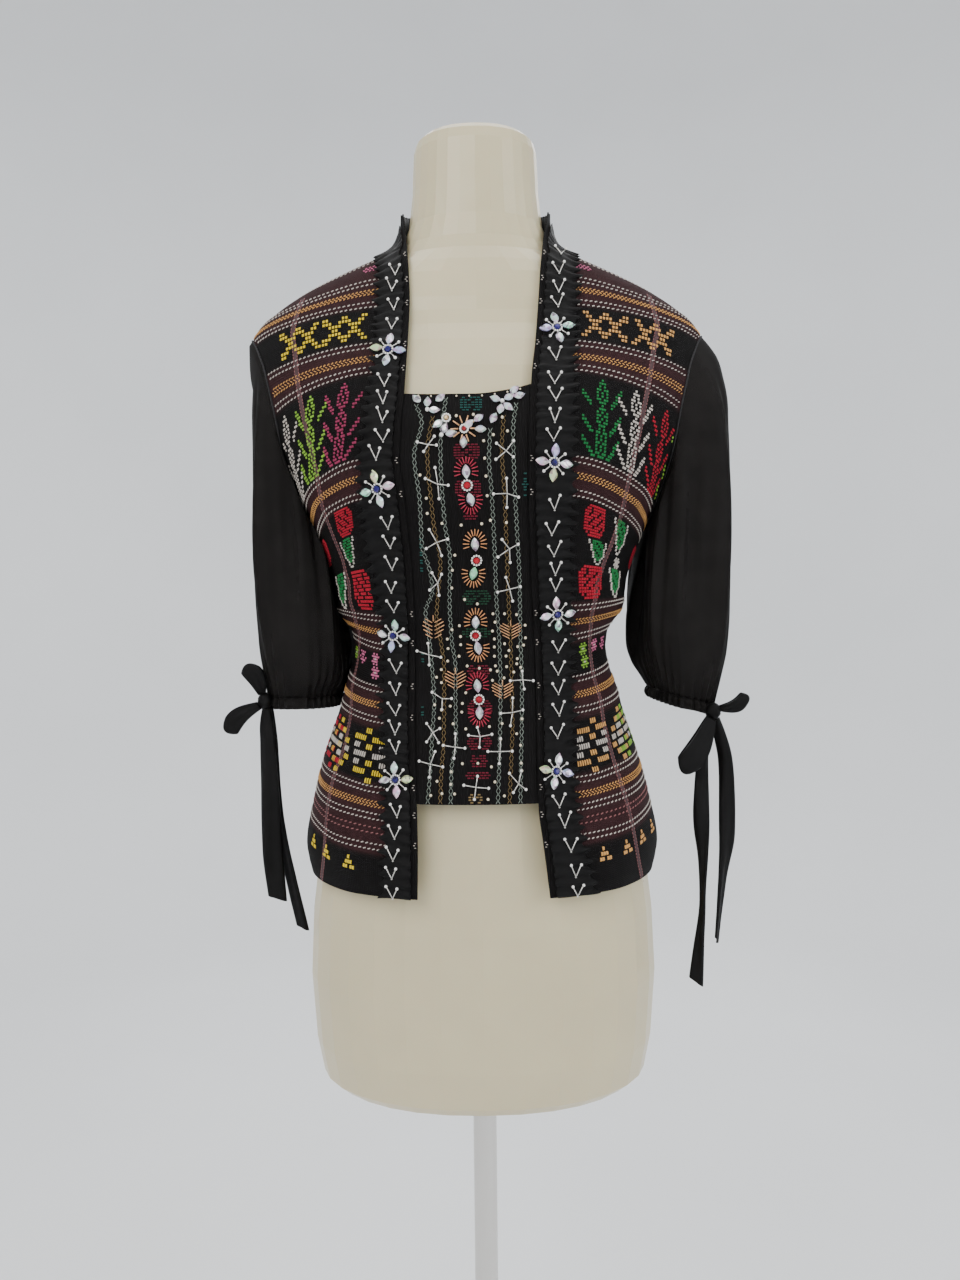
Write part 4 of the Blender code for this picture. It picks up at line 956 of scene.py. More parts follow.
def panel_surface():
    grid = []
    for row in range(PANEL_ROWS + 1):
        share = row / PANEL_ROWS
        points = []
        for column in range(PANEL_COLUMNS + 1):
            part = column / PANEL_COLUMNS
            z = blend(PANEL_BOTTOM_Z, PANEL_TOP_AT(blend(PANEL_TOP[0].x, PANEL_TOP[-1].x, part)), share)
            left = -INNER_EDGES[-1](z) - PANEL_TUCK
            right = INNER_EDGES[1](z) + PANEL_TUCK
            points.append(panel_point(blend(left, right, part), z))
        grid.append(points)
    return np.array(grid)


def woven_piece(name, grid, back, node, thickness=WOVEN_WALL):
    inside = grid - surface_normals(grid) * thickness
    grain = grain_map(grid, back)
    if not back:
        grain[:, :EDGE_COLUMNS, 1] = PLAIN_GRAIN
    return sewn_wall(name, grid, inside, "woven", (node,), grain=grain)


def make_cloth():
    """The trunk's cut pieces: two fronts, the back and the centre panel."""
    pieces = {}
    for side, word in SIDES:
        pieces[word] = woven_piece(f"cloth_front_{word}", front_surface(side), False, f"front_{word}")
    pieces["back"] = woven_piece("cloth_back", back_surface(), True, "back")
    grid = panel_surface()
    flat = np.full((*grid.shape[:2], 2), 0.5)
    flat[:, :, 0] = grid[:, :, 0]
    flat[:, :, 1] = PLAIN_GRAIN
    inside = grid - surface_normals(grid) * PANEL_WALL
    pieces["panel"] = sewn_wall(
        "cloth_panel", grid, inside, "woven", ("centre_panel",), grain=flat
    )
    return pieces


# Raised pattern threads. White lines are two staggered rows of dashes, orange and pink ones a lattice.
WHITE_WEFTS = (
    1.396, 1.370, 1.348, 1.309, 1.287, 1.2107, 1.1845, 1.0885, 1.064, 1.028, 1.0025, 0.9457, 0.924, 0.900
)
ORANGE_WEFTS = (1.360, 1.297, 1.198, 1.0767, 1.015, 0.934)
FAINT_WEFT, FAINT_PITCH = 0.913, 0.0048
PINK_WEFT, PINK_REACH = 1.385, 0.016
FLOAT_RISE = 0.00055
# Pattern lines: spacing, length and width of the threads, half the rows' distance, and lean in degrees
Line = namedtuple("Line", "pitch length width apart lean")
DASHES = Line(0.0043, 0.0025, 0.0011, 0.0022, 20)
LATTICE = Line(0.0036, 0.0025, 0.0009, 0.0020, 34)

# Charts: a dot is bare ground, a w a white stitch, and each bar starts a new row
PLANT = (
    "........#........|.......###.......|.......#.#......#|......##.##....##|#.....#.#.#...##.|"
    "##....#.#.#...#..|.##...##.##..##..|..##...###..##...|...#....#...#....|.......###.......|"
    "......#.#.#.....#|......##.##....##|#.....#.#.#...##.|##....##.##...#..|.##....###...##..|"
    "..##...#.#..##...|...##.##.##.#....|......#.#.#.....#|#.....#.#.#....##|##....##.##...##.|"
    ".##...#.#.#...#..|..##..#.#.#..##..|...##.##.##.##...|....##.###.##...."
)
ROSE = (
    "..########|.##.######|###.###.##|##.###.###|####.###.#|###.###.##|##.###.###|####.###.#|"
    "#######.#.|.#.######.|..######.."
)
LEAF = (
    "w.#####..w|w.##.###.w|.w###.##.w|.w####.#w.|.w#.####w.|..w#.###w.|..w##.##w.|..w####w..|"
    "...w##w...|...w..w...|....ww...."
)
BLOCKS = "..#..|##.##|w.#.w|ww.ww|w.#.w|##.##|..#.."
DIAMOND = "..#..|.#.#.|#.w.#|w.#.w|#.w.#|.#.#.|..#.."
CHEVRONS = (
    "##....##....##|.##..####..###|..####..####..|...##....##...|..####..####..|.##..####..###|"
    "##....##....##"
)
FLOWER = ".#.#.|#####|.#w#.|#####|.#.#."
TENT = "..#..|.###.|##.##"
SPRIG = ".#.#.#.|..###..|#..#..#|.#####.|...#..."

# Width and height of a chart's stitches, where a figure doesn't give its own
CELLS = {
    CHEVRONS: (0.0029, 0.0036), PLANT: (0.0021, 0.0027), FLOWER: (0.0020, 0.0022), TENT: (0.0023, 0.0042),
    SPRIG: (0.0018, 0.0024),
}
# Share of its cell that a stitch fills, across and up
CELL_FILL, CHEVRON_FILL, CELL_RISE = 0.90, 0.72, 0.84
Motif = namedtuple("Motif", "chart word x top wide high", defaults=(None, None))
FRONT_MOTIFS = {
    -1: rows_of(
        Motif,
        (CHEVRONS, "yellow", 0.0880, 1.3410), (CHEVRONS, "yellow", 0.1300, 1.3410),
        (PLANT, "magenta", 0.0935, 1.2800), (PLANT, "lime", 0.1240, 1.2800),
        (PLANT, "white", 0.1480, 1.2780), (PLANT, "red", 0.1620, 1.2760),
        (ROSE, "red", 0.1020, 1.1800, 0.0020, 0.0021), (LEAF, "green", 0.1000, 1.1555, 0.0020, 0.0022),
        (ROSE, "red", 0.0880, 1.1290, 0.0021, 0.0031), (LEAF, "green", 0.1100, 1.1310, 0.0024, 0.0034),
        (ROSE, "red", 0.1300, 1.1740, 0.0022, 0.0026),
        (FLOWER, "pink", 0.0860, 1.0575), (FLOWER, "pink", 0.0860, 1.0460),
        (SPRIG, "pink", 0.0990, 1.0560), (FLOWER, "lime", 0.1080, 1.0560),
        (TENT, "yellow", 0.1050, 0.8900), (TENT, "yellow", 0.1270, 0.8900), (TENT, "yellow", 0.1440, 0.8900),
    ),
    1: rows_of(
        Motif,
        (CHEVRONS, "orange", 0.0870, 1.3410), (CHEVRONS, "orange", 0.1290, 1.3410),
        (PLANT, "green", 0.0830, 1.2800), (PLANT, "white", 0.1130, 1.2800),
        (PLANT, "red", 0.1420, 1.2780), (PLANT, "lime", 0.1600, 1.2760),
        (ROSE, "red", 0.0850, 1.1790, 0.0022, 0.0024), (LEAF, "green", 0.1090, 1.1770, 0.0022, 0.0030),
        (LEAF, "green", 0.0880, 1.1510, 0.0020, 0.0021), (FLOWER, "white", 0.1120, 1.1420, 0.0021, 0.0025),
        (ROSE, "red", 0.0800, 1.1270, 0.0026, 0.0029), (LEAF, "green", 0.1070, 1.1290, 0.0024, 0.0032),
        (ROSE, "red", 0.1330, 1.1700, 0.0022, 0.0026),
        (FLOWER, "lime", 0.0840, 1.0575), (FLOWER, "pink", 0.0960, 1.0575), (FLOWER, "lime", 0.0860, 1.0460),
        (SPRIG, "pink", 0.1050, 1.0560),
        (TENT, "orange", 0.0950, 0.8900), (TENT, "orange", 0.1140, 0.8900), (TENT, "orange", 0.1330, 0.8900),
        (TENT, "orange", 0.1480, 0.8900),
    ),
}
BLOCK_STARTS = {-1: (("yellow", 0.0790), ("red", 0.1200)), 1: (("orange", 0.0790), ("lime", 0.1180))}
BLOCK_TOP, BLOCK_WIDE, BLOCK_HIGH, BLOCK_BARS = 0.9950, 0.0070, 0.0067, 3
# Share of its place that a bar of a block fills, across and up, and the way from one figure to the next
BAR_FILL, BAR_RISE, BLOCK_SPACING = 0.58, 0.76, 0.043

Warp = namedtuple("Warp", "x z")
WARP_STRIPES = {
    -1: rows_of(
        Warp,
        (0.151, 1.366), (0.156, 1.332), (0.153, 1.304), (0.149, 1.277), (0.130, 1.190), (0.106, 1.078),
        (0.110, 1.032), (0.116, 0.982), (0.126, 0.945), (0.133, 0.893), (0.140, 0.857),
    ),
    1: rows_of(
        Warp,
        (0.150, 1.366), (0.153, 1.334), (0.148, 1.305), (0.142, 1.277), (0.138, 1.260), (0.120, 1.180),
        (0.094, 1.087), (0.095, 1.060), (0.101, 1.012), (0.106, 0.988), (0.116, 0.949), (0.123, 0.917),
        (0.127, 0.898), (0.138, 0.857),
    ),
}
WARP_STRIPE_WIDTH, WARP_STEP = 0.0044, 0.0030


class Loom:
    """Lays raised threads on one side of one piece of cloth."""

    def __init__(self, heap, ground, side, back):
        self.heap, self.ground, self.side, self.back = heap, ground, side, back

    def along_at(self, weft, x):
        """Distance along a weft line at which it is x from the middle."""
        for step in weft_line(weft, self.side, self.back):
            if step.x >= x:
                return step.along
        return None

    def thread(self, weft, along, length, width, word, tilt=0.0, rise=FLOAT_RISE):
        found = spot(weft_line(weft, self.side, self.back), along)
        if found is None or (self.back and found[0].z > NAPE_Z - 0.012):
            return
        point, direction = found[:2]
        normal = out_from(point, self.back)
        if tilt:
            up = normal.cross(direction).normalized()
            direction = direction * math.cos(tilt) + up * math.sin(tilt)
        stitch(self.heap, self.ground.seat(point, normal), direction, normal, length, width, rise, word)

    def length_of(self, weft):
        return weft_line(weft, self.side, self.back)[-1].along

    def dashes(self, weft, word, pitch=DASHES.pitch):
        """Two staggered rows of short slanting threads."""
        for row in range(2):
            line = weft + (2 * row - 1) * DASHES.apart
            for i in range(int(self.length_of(line) / pitch) + 1):
                along = (i + row / 2) * pitch
                self.thread(line, along, DASHES.length, DASHES.width, word, math.radians(DASHES.lean))

    def lattice(self, weft, word="orange", reach=1.0):
        """Three rows of slanting threads that lean by turns, so that the ground shows between."""
        for row in range(3):
            line = weft + (row - 1) * LATTICE.apart
            lean = math.radians(-LATTICE.lean if row % 2 else LATTICE.lean)
            for i in range(int(min(self.length_of(line), reach) / LATTICE.pitch) + 1):
                along = (i + row % 2 / 2) * LATTICE.pitch
                self.thread(line, along, LATTICE.length, LATTICE.width, word, lean)

    def chart(self, motif, start=None):
        """A charted figure, a stitch for each cell; start is a distance along the weft line."""
        rows = motif.chart.split("|")
        wide, high = (motif.wide, motif.high) if motif.wide else CELLS[motif.chart]
        fill = CHEVRON_FILL if motif.chart == CHEVRONS else CELL_FILL
        middle = motif.top - high * len(rows) / 2
        if start is None:
            start = self.along_at(middle, motif.x)
        if start is None:
            return
        share = start / self.length_of(middle)
        for r, row in enumerate(rows):
            weft = motif.top - (r + 0.5) * high
            begin = blend(start, share * self.length_of(weft), 0.5)
            for c, cell in enumerate(row):
                if cell != ".":
                    word = "white" if cell == "w" else motif.word
                    self.thread(weft, begin + (c + 0.5) * wide, wide * fill, high * CELL_RISE, word)

    def blocks(self, word, start, chart=BLOCKS):
        """A figure of blocks, each of three upright bars."""
        bar_wide = BLOCK_WIDE / BLOCK_BARS
        for r, row in enumerate(chart.split("|")):
            weft = BLOCK_TOP - (r + 0.5) * BLOCK_HIGH
            for c, cell in enumerate(row):
                if cell == ".":
                    continue
                colour = "white" if cell == "w" else word
                for bar in range(BLOCK_BARS):
                    along = start + c * BLOCK_WIDE + (bar + 0.5) * bar_wide
                    self.thread(weft, along, bar_wide * BAR_FILL, BLOCK_HIGH * BAR_RISE, colour)

    def warp_stripe(self, line):
        """A narrow stripe along the grain, with a dashed thread down each edge."""
        across = Profile(sorted(line, key=lambda w: w.z), "x")
        low, high = min(w.z for w in line), max(w.z for w in line)
        for i in range(int((high - low) / WARP_STEP)):
            z = low + (i + 0.5) * WARP_STEP
            x = across(z)
            past_armhole = UNDERARM_Z < z < SHOULDER_TIP_Z and x > REACH[self.back](z) - 0.006
            if past_armhole or x > TRUNK_WIDTH(z) * 0.995:
                continue
            here = Vector(cloth_point(turn_at(x, z, self.back), z, self.side, self.back))
            z_next = z + WARP_STEP
            x_next = min(across(z_next), TRUNK_WIDTH(z_next))
            after = Vector(cloth_point(turn_at(x_next, z_next, self.back), z_next, self.side, self.back))
            normal = out_from(here, self.back)
            along = (after - here).normalized()
            if normal.cross(along).length < 0.5:
                continue
            sideways = normal.cross(along).normalized()
            length = (after - here).length
            seat = self.ground.seat(here, normal)
            stitch(self.heap, seat, along, normal, length * 1.25, WARP_STRIPE_WIDTH, 0.00022, "mauve")
            for way in (-1, 1):
                place = self.ground.seat(here + sideways * way * WARP_STRIPE_WIDTH * 0.46, normal)
                stitch(self.heap, place, along, normal, length * 0.66, 0.0006, 0.00036, "dusty")

    def lines(self):
        for weft in WHITE_WEFTS:
            self.dashes(weft, "white")
        self.dashes(FAINT_WEFT, "dusty", FAINT_PITCH)
        for weft in ORANGE_WEFTS:
            self.lattice(weft)
        if not self.back:
            self.lattice(PINK_WEFT, "pink", PINK_REACH)


def edge_threads(heap, ground, side):
    """The ends of the pattern threads that show on the front's own edge, past the ribbon's inner side."""
    for weft in WHITE_WEFTS:
        for row in range(3):
            z = weft + (row - 1) * 0.0019
            x = INNER_EDGES[side](z) + 0.0018 + 0.0010 * (row % 2)
            point = Vector(cloth_point(turn_at(x, z, False), z, side, False))
            normal = out_from(point, False)
            seat = ground.seat(point, normal)
            stitch(heap, seat, Vector((1, 0, 0)), normal, 0.0015, 0.0007, FLOAT_RISE, "white")


BACK_CYCLE = ("green", "white", "red", "lime", "magenta", "white")


def weave_front(side, cloth):
    word = "left" if side < 0 else "right"
    heap, ground = Heap(), Ground(cloth)
    loom = Loom(heap, ground, side, False)
    loom.warp_stripe(WARP_STRIPES[side])
    loom.lines()
    for motif in FRONT_MOTIFS[side]:
        loom.chart(motif)
    for colour, x in BLOCK_STARTS[side]:
        start = loom.along_at(BLOCK_TOP - 0.023, x)
        if start is not None:
            loom.blocks(colour, start)
            loom.blocks(colour, start + BLOCK_SPACING, DIAMOND)
    edge_threads(heap, ground, side)
    return heap.build(f"weaving_{word}", "woven_cloth")


def weave_back(cloth):
    heap, ground = Heap(), Ground(cloth)
    for side in (-1, 1):
        loom = Loom(heap, ground, side, True)
        for share in (0.30, 0.74):
            loom.warp_stripe([Warp(share * TRUNK_WIDTH(z), z) for z in np.linspace(0.857, 1.385, 24)])
        loom.lines()
        for i, word in enumerate(BACK_CYCLE):
            odd = i % 2
            yellow = "yellow" if side < 0 else "orange"
            for motif, start, spacing in (
                (Motif(PLANT, word, 0, 1.2790), 0.004, 0.036),
                (Motif(ROSE, "red", 0, 1.1780 - 0.004 * odd, 0.0023, 0.0024), 0.004, 0.030),
                (Motif(LEAF, "green", 0, 1.1510, 0.0022, 0.0023), 0.004, 0.030),
                (Motif(*((ROSE, "red") if odd else (LEAF, "green")), 0, 1.1250, 0.0023, 0.0027), 0.004, 0.030),
                (Motif(CHEVRONS, yellow, 0, 1.3410), 0.004, 0.042),
                (Motif(FLOWER, ("pink", "lime")[odd], 0, 1.0575), 0.006, 0.026),
                (Motif(FLOWER, ("lime", "pink")[odd], 0, 1.0460), 0.006, 0.026),
                (Motif(TENT, yellow, 0, 0.8900), 0.008, 0.036),
            ):
                loom.chart(motif, start + i * spacing)
        for i in range(4):
            word = ("yellow", "red", "lime", "orange")[(i + (side > 0)) % 4]
            loom.blocks(word, 0.004 + i * 0.044)
    return heap.build("weaving_back", "woven_cloth")


# Ruched bands: gathers along the ribbon, deepest at its free edge
GATHER_PITCH = 0.0092
RUCHE_COLUMNS = 14
RUCHE_STEP = 0.0013
# How much the crests sway along the ribbon's free edges
SWAY_GAIN = 2.2
# Flat widths, and the length of ribbon gathered into each metre
# Length of the collar band round the nape; and how far each gathered ribbon stands out at its inner edge, middle
# and outer edge, and how far its crests sway
COLLAR_LENGTH = 0.275
Ruche = namedtuple("Ruche", "inner middle outer sway")
BAND_RUCHE = Ruche(0.0024, 0.0009, 0.0046, 0.0042)
COLLAR_RUCHE = Ruche(0.0022, 0.0010, 0.0012, 0.0006)


def ruche_height(along, share, seed, ruche):
    """How far a gathered ribbon stands out: a share across it, a distance along it."""
    wobble = noise.noise(Vector((along * 70, share * 1.4, seed))) * 1.9
    phase = 2 * math.pi * along / GATHER_PITCH + wobble + 0.7 * math.sin(share * 5 + seed)
    crest = (0.5 + 0.5 * math.sin(phase)) ** 1.25
    edge = abs(2 * share - 1) ** 1.6
    rise = blend(ruche.middle, ruche.outer if share > 0.5 else ruche.inner, edge)
    swell = 0.75 + 0.5 * noise.noise(Vector((along * 45, share * 2, seed + 9)))
    crumple = 0.00035 * noise.noise(Vector((along * 420, share * 9, seed + 4)))
    return rise * crest * swell + crumple, math.sin(phase) * swell


def ruched(name, seat, normals, across, ruche, seed, node):
    """A gathered ribbon over a seat of points, as a closed wall, and its length along the middle."""
    step = np.linalg.norm(np.diff(seat[:, seat.shape[1] // 2], axis=0), axis=1)
    along = np.concatenate(((0.0,), np.cumsum(step)))
    top = seat.copy()
    columns = seat.shape[1]
    for row in range(seat.shape[0]):
        for column in range(columns):
            share = column / (columns - 1)
            rise, sway = ruche_height(along[row], share, seed, ruche)
            fade = math.sin(math.pi * min(max(share, 0.03), 0.97)) ** 0.35
            top[row, column] += normals[row, column] * (RIBBON_WALL * (0.45 + 0.55 * fade) + rise)
            pull = max(share - 0.55, 0.0) - 0.45 * max(0.35 - share, 0.0)
            top[row, column] += across[row] * ruche.sway * sway * pull * SWAY_GAIN
    low = seat + (top - seat) * 0.08
    low[:, 0], low[:, -1] = blend(low[:, 0], top[:, 0], 0.5), blend(low[:, -1], top[:, -1], 0.5)
    return sewn_wall(name, top, low, "satin", (node,)), along[-1]


def band_seat(side):
    """Seat of the ribbon on a front's edge, by even steps from hem to neck."""
    inner, outer = INNER_EDGES[side], EDGES[side]
    rows = panel_rows()
    centres = []
    for _, z_outer, z_inner in rows:
        x, z = (inner(z_inner) + outer(z_outer)) / 2, (z_inner + z_outer) / 2
        turn = turn_at(min(x, TRUNK_WIDTH(z) * 0.999), z, False)
        centres.append(cloth_point(turn, z, side, False))
    gaps = np.linalg.norm(np.diff(np.array(centres), axis=0), axis=1)
    lengths = np.concatenate(((0.0,), np.cumsum(gaps)))
    places = np.linspace(0.0, lengths[-1], int(lengths[-1] / RUCHE_STEP))
    index = np.interp(places, lengths, np.arange(len(rows)))
    grid = []
    for position in index:
        low = min(int(position), len(rows) - 2)
        part = position - low
        _, z_outer, z_inner = (blend(a, b, part) for a, b in zip(rows[low], rows[low + 1]))
        turn_inner = turn_at(inner(z_inner), z_inner, False)
        turn_outer = turn_at(min(outer(z_outer), TRUNK_WIDTH(z_outer) * 0.9995), z_outer, False)
        strip = min(WOVEN_STRIP / max(outer(z_outer) - inner(z_inner), 0.020), 0.3)
        points = []
        for column in range(RUCHE_COLUMNS + 1):
            share = blend(strip, 1.0, column / RUCHE_COLUMNS)
            turn = blend(turn_inner, turn_outer, share)
            points.append(cloth_point(turn, blend(z_inner, z_outer, share), side, False, RIBBON_GAP))
        grid.append(points)
    return np.array(grid)


def collar_seat():
    """Seat of the band that stands round the nape."""
    count = int(COLLAR_LENGTH / RUCHE_STEP)
    rows = []
    for i in range(count + 1):
        share = 2 * i / count - 1
        side = -1 if share < 0 else 1
        z_high = blend(COLLAR_SIDE_Z, COLLAR_NAPE_Z, 1 - share**2)
        z_low = blend(NECK_SIDE_Z, NAPE_Z, 1 - share**2) + SEAM_GAP
        turn_high = abs(share) * seam_turn(z_high, True)
        turn_low = abs(share) * seam_turn(z_low, True)
        points = []
        for column in range(RUCHE_COLUMNS + 1):
            part = column / RUCHE_COLUMNS
            turn, z = blend(turn_high, turn_low, part), blend(z_high, z_low, part)
            points.append(cloth_point(turn, z, side, True, -RIBBON_WALL * 0.4))
        rows.append(points)
    return np.array(rows)


def make_ruched_bands():
    """The gathered ribbons on the fronts' edges and the band that stands round the nape."""
    for side, word in SIDES:
        seat = band_seat(side)
        piece, length = ruched(
            f"ruched_band_{word}", seat, surface_normals(seat), unit(seat[:, -1] - seat[:, 0]), BAND_RUCHE,
            3.0 + side, f"ribbon_{word}",
        )
    seat = collar_seat()
    out = unit(surface_normals(seat) * (1.0, 1.0, 0.0))
    across = unit(seat[:, 0] - seat[:, -1])
    piece, length = ruched("ruched_collar", seat, out, across, COLLAR_RUCHE, 8.0, "collar")


SLEEVE_SIDES, SLEEVE_STEPS = 168, 72
# Soft folds round the sleeve: how many, share of the full rise, and where they start
Wave = namedtuple("Wave", "count share phase")
SLEEVE_FOLD_WAVES = rows_of(Wave, (5, 1.00, 0.0), (9, 0.55, 1.3), (14, 0.40, 4.1), (23, 0.26, 2.2))
# Share of the sleeve's length at which the cuff's gathers begin
GATHER_START = 0.62
CUFF_FLAT, CUFF_AREA, CUFF_STEPS = (0.30, 0.012), 0.0034, 12
CUFF_BULGE, CUFF_RIPPLE = 0.00132, 0.0009
CUFF_PLEATS = 34


def clear_of_trunk(point, clearance):
    """A point moved straight out from the trunk's axis until it hangs clear of the trunk."""
    x, y, z = point
    power = BACK_ROUND if y > 0 else FRONT_ROUND
    rise = clearance + max(fold_rise(x, z, BACK_FOLDS if y > 0 else FRONT_FOLDS), 0.0)
    width = TRUNK_WIDTH(z) + rise
    depth = (TRUNK_BACK(z) if y > 0 else TRUNK_FRONT(z)) + rise
    share = ((abs(x) / width) ** power + (abs(y) / depth) ** power) ** (1 / power)
    return (x / share, y / share, z) if share < 1 else (x, y, z)


def armhole_ring(side, count):
    """Points round an armhole, from the shoulder tip down the front and up the back."""
    heights = [UNDERARM_Z] + [level.armhole for level in HIGH_LEVELS]
    loops = []
    for back in (False, True):
        fine = []
        for low, high in zip(heights, heights[1:]):
            fine += [blend(low, high, i / 8) for i in range(8)]
        fine.append(SHOULDER_TIP_Z)
        loops.append([cloth_point(side_turn(z, back), z, side, back) for z in fine])
    ring = []
    for points in (loops[0][::-1], loops[1]):
        for i in range(count // 2):
            where = i / (count // 2) * (len(points) - 1)
            low = min(int(where), len(points) - 2)
            ring.append(blend(points[low], points[low + 1], where - low))
    ring = np.array(ring)
    ring[:, 0] += side * ARMHOLE_GAP
    ring[:, 2] -= ARMHOLE_GAP / 4
    return ring


def tube_inside(outside, thickness):
    """A tube's inner face: each ring moved in along its normals."""
    around = np.roll(outside, -1, axis=1) - np.roll(outside, 1, axis=1)
    normals = unit(np.cross(around, np.gradient(outside, axis=0)))
    axis = outside.mean(axis=1, keepdims=True)
    if ((outside - axis) * normals).sum() < 0:
        normals = -normals
    return outside - normals * thickness


def pleats(angle):
    """The cuff's gathers, from -1 to 1, unevenly spaced round the arm."""
    return math.cos(CUFF_PLEATS * angle + 1.5 * math.sin(angle * 3))


def sleeve_surface(side, table, cuff, start):
    """The sleeve's outer face, ring by ring from the armhole to the cuff."""
    middle, half_width, half_depth = (
        Profile(table, column, "share") for column in ("middle", "half_width", "half_depth")
    )
    power = 2 / SLEEVE_ROUND
    grid = [start]
    for step in range(1, SLEEVE_STEPS + 1):
        share = step / SLEEVE_STEPS
        leave = 1 - (1 - min(share / SLEEVE_LEAVES, 1.0)) ** 2
        gather = max(0.0, (share - GATHER_START) / (1 - GATHER_START)) ** 1.6
        soft = SLEEVE_FOLD_RISE * math.sin(math.pi * min(share / 0.97, 1.0)) ** 1.2
        drift = 0.5 * math.sin(3.1 * share + side)
        row = []
        for i, angle in enumerate(turns(SLEEVE_SIDES)):
            sine, cosine = math.sin(angle), math.cos(angle)
            rise = soft * sum(
                wave.share * math.cos(wave.count * (angle + 0.12 * drift) + 3 * share + wave.phase)
                for wave in SLEEVE_FOLD_WAVES
            )
            swell = 0.75 + 0.5 * noise.noise(Vector((cosine * 2, sine * 2, side * 5)))
            rise += gather * CUFF_GATHER_RISE * pleats(angle) * swell
            x = middle(share) + (half_width(share) + rise) * math.copysign(abs(cosine) ** power, cosine)
            y = -(half_depth(share) + rise) * math.copysign(abs(sine) ** power, sine)
            z = blend(start[i][2], blend(cuff.outer_z, cuff.inner_z, (1 - cosine) / 2), share)
            point = (blend(start[i][0], side * x, leave), blend(start[i][1], y, leave), z)
            row.append(clear_of_trunk(point, SLEEVE_CLEARANCE))
        grid.append(np.array(row))
    return np.array(grid)


def make_sleeves():
    """The full sleeves, and the gathered casings that close them."""
    for side, word, table, cuff in (
        (-1, "left", SLEEVE_RINGS_LEFT, CUFF_LEFT), (1, "right", SLEEVE_RINGS_RIGHT, CUFF_RIGHT),
    ):
        start = armhole_ring(side, SLEEVE_SIDES)
        outside = sleeve_surface(side, table, cuff, start)
        end = outside[-1]
        inward = unit((end.mean(axis=0) - end) * (1.0, 1.0, 0.0))
        inside = tube_inside(outside, SLEEVE_WALL * 0.6)
        inside[0] = start + unit((start.mean(axis=0) - start) * (0.0, 1.0, 1.0)) * SLEEVE_WALL
        inside[-1] = end + inward * SLEEVE_WALL
        sleeve = sewn_wall(
            f"puff_sleeve_{word}", outside, inside, "sheer", (f"sleeve_{word}",), tube=True
        )
        ripple = np.array([pleats(angle) for angle in turns(SLEEVE_SIDES)])[:, None]
        rows = []
        for step in range(CUFF_STEPS + 1):
            part = step / CUFF_STEPS
            row = end - inward * (CUFF_BULGE + CUFF_RIPPLE * ripple) * math.sin(math.pi * part)
            row[:, 2] -= SEAM_GAP + cuff.height * part
            rows.append(row)
        ring = np.array(rows)
        cased = sewn_wall(
            f"gathered_cuff_{word}", ring, ring + inward * CUFF_WALL, "sheer",
            (f"cuff_{word}",), tube=True,
        )


TIE_WALL = 0.0012
Stretch = namedtuple("Stretch", "x y z width turn")

# Bow ties. Rows are x, y, z, width and turn about the ribbon's own line.
TAILS = {
    "tie_tail_left_front": rows_of(
        Stretch,
        (-0.1927, -0.0334, 1.0038, 0.008, 0), (-0.1932, -0.0345, 0.9900, 0.012, 8),
        (-0.1925, -0.0355, 0.9700, 0.0145, 14), (-0.1909, -0.0355, 0.9307, 0.017, 8),
        (-0.1900, -0.0355, 0.9000, 0.0175, -6), (-0.1890, -0.0355, 0.8720, 0.018, -10),
        (-0.1856, -0.0355, 0.8313, 0.016, -4),
    ),
    "tie_tail_left_rear": rows_of(
        Stretch,
        (-0.1918, -0.0299, 1.0038, 0.008, 6), (-0.1905, -0.0290, 0.9850, 0.010, 18),
        (-0.1895, -0.0280, 0.9600, 0.012, 26), (-0.1882, -0.0275, 0.9306, 0.012, 24),
        (-0.1850, -0.0270, 0.9000, 0.012, 30), (-0.1811, -0.0270, 0.8760, 0.012, 30),
        (-0.1737, -0.0270, 0.8394, 0.012, 26), (-0.1653, -0.0270, 0.8017, 0.011, 20),
    ),
    "tie_tail_right_front": rows_of(
        Stretch,
        (0.2072, -0.0360, 0.9907, 0.009, 0), (0.2030, -0.0362, 0.9750, 0.010, -14),
        (0.1998, -0.0360, 0.9537, 0.012, -22), (0.1985, -0.0360, 0.9250, 0.014, -12),
        (0.1979, -0.0360, 0.8990, 0.0145, 8), (0.1986, -0.0360, 0.8630, 0.010, 40),
        (0.1983, -0.0360, 0.8254, 0.007, 60), (0.1951, -0.0360, 0.7851, 0.010, 38),
        (0.1928, -0.0360, 0.7510, 0.013, 18),
    ),
    "tie_tail_right_rear": rows_of(
        Stretch,
        (0.2112, -0.0331, 0.9907, 0.008, 0), (0.2160, -0.0305, 0.9740, 0.011, 16),
        (0.2205, -0.0300, 0.9530, 0.013, 24), (0.2223, -0.0300, 0.9263, 0.014, 12),
        (0.2230, -0.0300, 0.8850, 0.015, -12), (0.2185, -0.0300, 0.8400, 0.011, -44),
        (0.2133, -0.0300, 0.7867, 0.008, -60),
    ),
}
Loop = namedtuple("Loop", "start tip width depth bend")
LOOPS = {
    "tie_loop_left_upper": Loop(
        (-0.1961, -0.0330, 1.0172), (-0.2075, -0.0420, 1.0450), 0.017, 0.0038, 0.002
    ),
    "tie_loop_left_lower": Loop(
        (-0.1990, -0.0325, 1.0070), (-0.2300, -0.0370, 0.9845), 0.018, 0.0038, 0.003
    ),
    "tie_loop_right_upper": Loop(
        (0.2139, -0.0350, 0.9999), (0.2405, -0.0380, 1.0105), 0.013, 0.0038, 0.003
    ),
    "tie_loop_right_lower": Loop(
        (0.2058, -0.0395, 0.9922), (0.1793, -0.0475, 0.9435), 0.022, 0.0045, -0.002
    ),
}
Knot = namedtuple("Knot", "centre radii")
KNOTS = {
    "left": Knot((-0.1937, -0.0318, 1.0108), (0.0064, 0.0072, 0.0078)),
    "right": Knot((0.2088, -0.0348, 0.9977), (0.0068, 0.0072, 0.0078)),
}

